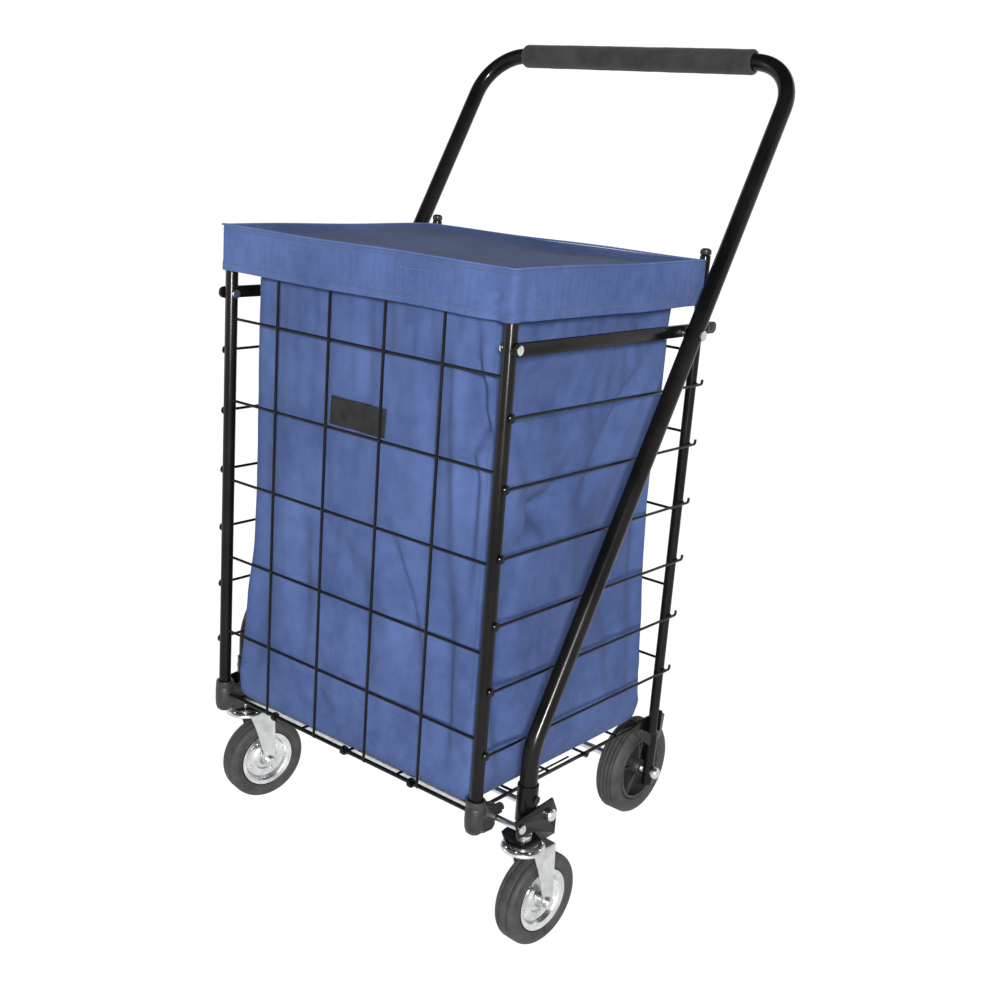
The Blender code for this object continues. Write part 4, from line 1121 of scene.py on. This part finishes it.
# lid sheet and its skirt, cut a little slack, pinned along the top seam and let settle
def makeHood():
    columns, rows = hood["columns"], hood["rows"]
    bm = bmesh.new()
    edge = hood["edge"]
    xs = np.linspace(-hood["half"] + edge, hood["half"] - edge, columns + 1)
    ys = np.linspace(hood["front"] + edge, hood["back"] - edge, rows + 1)
    grid = []
    for y in ys:
        line = []
        for x in xs:
            u = (x + hood["half"]) / (2 * hood["half"])
            v = (y - hood["front"]) / (hood["back"] - hood["front"])
            rim = min(1.0, 6 * min(u, 1 - u, v, 1 - v))
            sag = hood["sag"] * max(0.0, math.sin(math.pi * u) * math.sin(math.pi * v)) ** 0.8
            ripple = 0.0042 * noise.noise(Vector((x * 9, y * 12, 0.4)))
            ripple += 0.0022 * noise.noise(Vector((x * 21, y * 27, 3.4)))
            ripple += 0.0018 * smoothFold(x, hood["half"], 0.09, 1.0) * math.sin(y * 95 - x * 60)
            ridge = smoothFold(x * 0.8 + y, 0.30, 0.018, 0.0030) * smoothFold(x, 0.08, 0.10, 1.0)
            dip = smoothFold(v, 1.0, 0.12, 0.0040) * (0.5 + 0.5 * math.sin(13 * x + 0.6))
            line.append(bm.verts.new((x, y, hood["top"] - sag + rim * (ripple + ridge) - dip)))
        grid.append(line)
    for a, b in zip(grid, grid[1:]):
        for k in range(columns):
            bm.faces.new((a[k], a[k + 1], b[k + 1], b[k]))
    border = grid[0] + [line[-1] for line in grid[1:]]
    border += grid[-1][-2::-1] + [line[0] for line in grid[-2:0:-1]]
    seamStart = len(bm.verts)
    previous = border
    count = len(border)
    depths = [0.0012, 0.0040] + list(np.linspace(0.0075, hood["top"] - hood["hem"], hood["skirt"]))
    for depth in depths:
        ring = []
        for vertex in border:
            x, y = vertex.co.x, vertex.co.y
            outX = math.copysign(1, x) if abs(x) > hood["half"] - edge - 1e-5 else 0
            outY = -1 if y < hood["front"] + edge + 1e-5 else 1 if y > hood["back"] - edge - 1e-5 else 0
            grow = edge * (0.62 if depth < 0.002 else 1.0) * (0.78 if outX and outY else 1.0)
            down = min(1.0, depth / 0.05)
            along = x if outY else y + 3
            ripple = 0.0012 * noise.noise(Vector((along * 14, depth * 20, 2)))
            ripple = down * (ripple + 0.0010 * math.sin(along * 31 + 1))
            pinch = 0.0
            if outY < 0 and x > 0:
                pinch = smoothFold(x, hood["half"] - 0.026, 0.010, 0.0052) * down
                near = smoothFold(x, hood["half"] - 0.02, 0.04, 1.0)
                pinch += 0.0022 * down * near * math.sin(depth * 260 + x * 60)
            if outX > 0 and y < 0.1:
                pinch = smoothFold(y, hood["front"] + 0.022, 0.008, 0.0028) * down
                near = smoothFold(y, hood["front"] + 0.01, 0.03, 1.0)
                pinch += 0.0012 * down * near * math.sin(depth * 230)
            hemBand = 0.0007 if depth > hood["top"] - hood["hem"] - 0.011 else 0.0
            reach = grow + ripple - pinch + hemBand
            z = hood["top"] - depth + 0.0006 * math.sin(along * 23)
            ring.append(bm.verts.new((x + outX * reach, y + outY * min(reach, 0.0042), z)))
        for k in range(count):
            bm.faces.new((previous[k - 1], previous[k], ring[k], ring[k - 1]))
        previous = ring
    piece = linkCloth("linerHood", bm, lidCloth)
    total = len(piece.data.vertices)
    pins = {}
    for row in range(rows + 1):
        for column in range(columns + 1):
            if row in (0, rows) or column in (0, columns):
                pins[row * (columns + 1) + column] = 1.0
    for index in range(seamStart, seamStart + count * 3):
        pins[index] = 1.0
    for index in range(seamStart + count * 3, total):
        pins[index] = 0.35
    settings = {
        "quality": 6,
        "mass": 0.22,
        "tension_stiffness": 15,
        "compression_stiffness": 15,
        "shear_stiffness": 8,
        "bending_stiffness": 0.6,
        "air_damping": 3.0,
        "shrink_min": -0.012,
        "pin_stiffness": 0.6,
    }
    start, settled = drape(piece, pins, settings, 14, 0.006)
    # the skirt stays outside the tubes and inside the legs
    skirt = np.arange(len(start)) >= seamStart
    settled[skirt, 0] = np.where(
        np.abs(start[skirt, 0]) > hood["half"] - 0.002,
        np.sign(start[skirt, 0]) * np.clip(np.abs(settled[skirt, 0]), 0.2368, 0.2412),
        settled[skirt, 0],
    )
    depthwise = settled[skirt, 1]
    onFront = start[skirt, 1] < hood["front"] + 0.002
    depthwise = np.where(onFront, np.clip(depthwise, -0.0150, -0.0094), depthwise)
    onBack = start[skirt, 1] > hood["back"] - 0.002
    settled[skirt, 1] = np.where(onBack, np.clip(depthwise, 0.3690, 0.3727), depthwise)
    settled[:, 2] = np.maximum(settled[:, 2], np.where(skirt, 0.5765, 0.6185))
    setPoints(piece, settled)
    rim = [settled[seamStart + k] for k in range(count)]
    hemRow = [settled[seamStart + count * (len(depths) - 1) + k] for k in range(count)]
    return piece, rim, hemRow


hoodPiece, rim, hemRow = makeHood()
print("hood hung")


def surfaceOf(piece):
    graph = bpy.context.evaluated_depsgraph_get()
    return BVHTree.FromObject(piece.evaluated_get(graph), graph)


sewing = {"stitch": 0.0036, "gap": 0.0014, "thread": 0.00042, "lift": 0.00028}


# short raised stitches laid along a path on the cloth
def stitchRow(bm, surface, path, closed=False):
    points = np.array([list(p) for p in path] + ([list(path[0])] if closed else []))
    lengths = np.concatenate([[0], np.cumsum(np.linalg.norm(np.diff(points, axis=0), axis=1))])
    at = 0.0
    while at + sewing["stitch"] < lengths[-1]:
        line = []
        for share, lift in ((0, -0.6), (0.2, 0.8), (0.5, 1.2), (0.8, 0.8), (1, -0.6)):
            here = at + share * sewing["stitch"]
            spot = Vector([np.interp(here, lengths, points[:, i]) for i in range(3)])
            place, normal, _, _ = surface.find_nearest(spot)
            if normal.dot(spot - Vector((0, 0.18, 0.55))) < 0:
                normal = -normal
            line.append(place + normal * sewing["lift"] * lift)
        sweep(bm, line, sewing["thread"], 5)
        at += sewing["stitch"] + sewing["gap"]


finishCloth(bagPiece, bag["wall"])
finishCloth(hoodPiece, hood["wall"])
bpy.context.view_layer.update()
hoodSurface = surfaceOf(hoodPiece)
bagSurface = surfaceOf(bagPiece)

bm = bmesh.new()
sweep(bm, [Vector(p) + Vector((0, 0, 0.0006)) for p in rim[::2]], 0.0013, 10, closed=True)
piping = linkCloth("hoodPiping", bm, pipingCloth)

bm = bmesh.new()
stitchRow(bm, hoodSurface, [Vector(p) + Vector((0, 0, 0.0090)) for p in hemRow[::2]], closed=True)
stitchRow(bm, hoodSurface, [Vector(p) + Vector((0, 0, -0.0052)) for p in rim[::2]], closed=True)
hemStitches = linkCloth("hoodStitches", bm, thread)

# fastening patches sewn behind the skirt show as stitched rectangles
patches = [
    {"face": "front", "from": -0.146, "to": -0.101, "low": 0.594, "high": 0.619},
    {"face": "front", "from": 0.070, "to": 0.116, "low": 0.593, "high": 0.617},
    {"face": "right", "from": 0.322, "to": 0.346, "low": 0.593, "high": 0.616},
    {"face": "left", "from": 0.322, "to": 0.346, "low": 0.593, "high": 0.616},
    {"face": "back", "from": -0.120, "to": -0.075, "low": 0.593, "high": 0.616},
    {"face": "back", "from": 0.075, "to": 0.120, "low": 0.593, "high": 0.616},
]
bm = bmesh.new()
for patch in patches:
    corners = []
    for end, height in (("from", "low"), ("to", "low"), ("to", "high"), ("from", "high")):
        across, z = patch[end], patch[height]
        places = {
            "front": (across, hood["front"], z),
            "back": (across, hood["back"], z),
            "right": (hood["half"], across, z),
            "left": (-hood["half"], across, z),
        }
        corners.append(places[patch["face"]])
    stitchRow(bm, hoodSurface, corners, closed=True)
patchStitches = linkCloth("patchStitches", bm, darkThread)

# seams down the bag's four corners
seamLines = []
for x, y in ((-0.199, 0.013), (0.199, 0.013), (0.199, 0.363), (-0.199, 0.363)):
    seamLines.append([(x, y, z) for z in np.linspace(0.570, 0.020, 60)])
bm = bmesh.new()
for line in seamLines:
    path = []
    for spot in line:
        place, normal, _, _ = bagSurface.find_nearest(Vector(spot))
        path.append(place + normal * 0.0002)
    sweep(bm, path, 0.0007, 8)
bagSeams = linkCloth("bagSeams", bm, bagCloth)

patchLabel = {
    "left": -0.052,
    "right": 0.044,
    "low": 0.413,
    "high": 0.448,
    "columns": 40,
    "rows": 16,
    "thick": 0.0007,
}


# blank woven label that follows the bag's front
def makeLabel():
    bm = bmesh.new()
    grid = []
    for j in range(patchLabel["rows"] + 1):
        line = []
        for i in range(patchLabel["columns"] + 1):
            u, v = i / patchLabel["columns"], j / patchLabel["rows"]
            x = patchLabel["left"] + (patchLabel["right"] - patchLabel["left"]) * u
            z = patchLabel["low"] + (patchLabel["high"] - patchLabel["low"]) * v
            hit = bagSurface.ray_cast(Vector((x, -0.05, z)), Vector((0, 1, 0)))[0]
            border = min(u, 1 - u) * 0.096 < 0.002 or min(v, 1 - v) * 0.035 < 0.002
            line.append(bm.verts.new((x, hit.y - 0.0004 - (0.0002 if border else 0), z)))
        grid.append(line)
    for a, b in zip(grid, grid[1:]):
        for i in range(patchLabel["columns"]):
            bm.faces.new((a[i], a[i + 1], b[i + 1], b[i]))
    piece = linkCloth("labelPatch", bm, label)
    thickness = piece.modifiers.new("label thickness", "SOLIDIFY")
    thickness.thickness = patchLabel["thick"]
    thickness.offset = 1
    return piece


labelPiece = makeLabel()
hangOnBasket(bagPiece, ["liner_bag"])
hangOnBasket(hoodPiece, ["liner_hood"])
hangOnBasket(labelPiece, ["label_patch"])
for piece in (piping, hemStitches, patchStitches, bagSeams):
    hangOnBasket(piece)
print("fabric sewn")


# Pale bowl of a floor, three soft lights and the camera
studio = {
    "floor": (0.08, 0.08, 0.08),
    "glow": 0.98,
    "world": 0.08,
    "key": 290.0,
    "left": 12.0,
    "back": 6.0,
    "radius": 9.0,
}


def addArea(name, place, aim, size, power):
    light = bpy.data.lights.new(name, "AREA")
    light.shape = "RECTANGLE"
    light.size, light.size_y = size
    light.energy = power
    lamp = bpy.data.objects.new(name, light)
    bpy.context.scene.collection.objects.link(lamp)
    lamp.location = place
    lamp.rotation_euler = (Vector(aim) - Vector(place)).to_track_quat("-Z", "Y").to_euler()


bm = bmesh.new()
bowl = [(0, 0), (studio["radius"] - 2, 0)]
for i in range(1, 9):
    angle = math.pi / 2 * i / 8
    bowl.append((studio["radius"] - 2 + 2 * math.sin(angle), 2 - 2 * math.cos(angle)))
bowl.append((studio["radius"], 5.5))
rings = []
for r, z in bowl:
    turns = [2 * math.pi * k / 64 for k in range(64 if r else 1)]
    rings.append([bm.verts.new((r * math.cos(a), r * math.sin(a), z)) for a in turns])
for low, high in zip(rings, rings[1:]):
    for k in range(64):
        inner = (low[k], low[k - 1]) if len(low) > 1 else (low[0],)
        bm.faces.new((*inner, high[k - 1], high[k]))
bmesh.ops.recalc_face_normals(bm, faces=bm.faces)
mesh = bpy.data.meshes.new("studioFloor")
bm.to_mesh(mesh)
bm.free()
mesh.shade_smooth()
ground = bpy.data.objects.new("studioFloor", mesh)
bpy.context.scene.collection.objects.link(ground)
material, tree, shader = startMaterial("paleFloor", 0.9, 0.0, {"Emission Strength": studio["glow"]})
shader.inputs["Base Color"].default_value = (*studio["floor"], 1)
shader.inputs["Emission Color"].default_value = (1, 1, 1, 1)
mesh.materials.append(material)

world = bpy.data.worlds.new("studio")
world.use_nodes = True
world.node_tree.nodes["Background"].inputs[0].default_value = (1, 1, 1, 1)
world.node_tree.nodes["Background"].inputs[1].default_value = studio["world"]
bpy.context.scene.world = world
addArea("key", (2.7, -2.9, 1.95), (0, 0, 0.5), (0.45, 0.45), studio["key"])
addArea("left", (-2.8, -2.0, 1.4), (0, 0, 0.5), (0.8, 1.4), studio["left"])
addArea("back", (0.8, 3.2, 1.6), (0, 0, 0.5), (1.6, 1.6), studio["back"])

lens = {"at": (1.085765, -1.284175, 1.092715), "turn": (1.206209, 0.006165, 0.695391), "mm": 47.03}
camera = bpy.data.objects.new("camera", bpy.data.cameras.new("camera"))
bpy.context.scene.collection.objects.link(camera)
camera.location = lens["at"]
camera.rotation_euler = lens["turn"]
camera.data.lens = lens["mm"]
camera.data.sensor_width = 36
camera.data.clip_start = 0.02
bpy.context.scene.camera = camera
bpy.context.scene.view_settings.view_transform = "Standard"

print("scene ready")
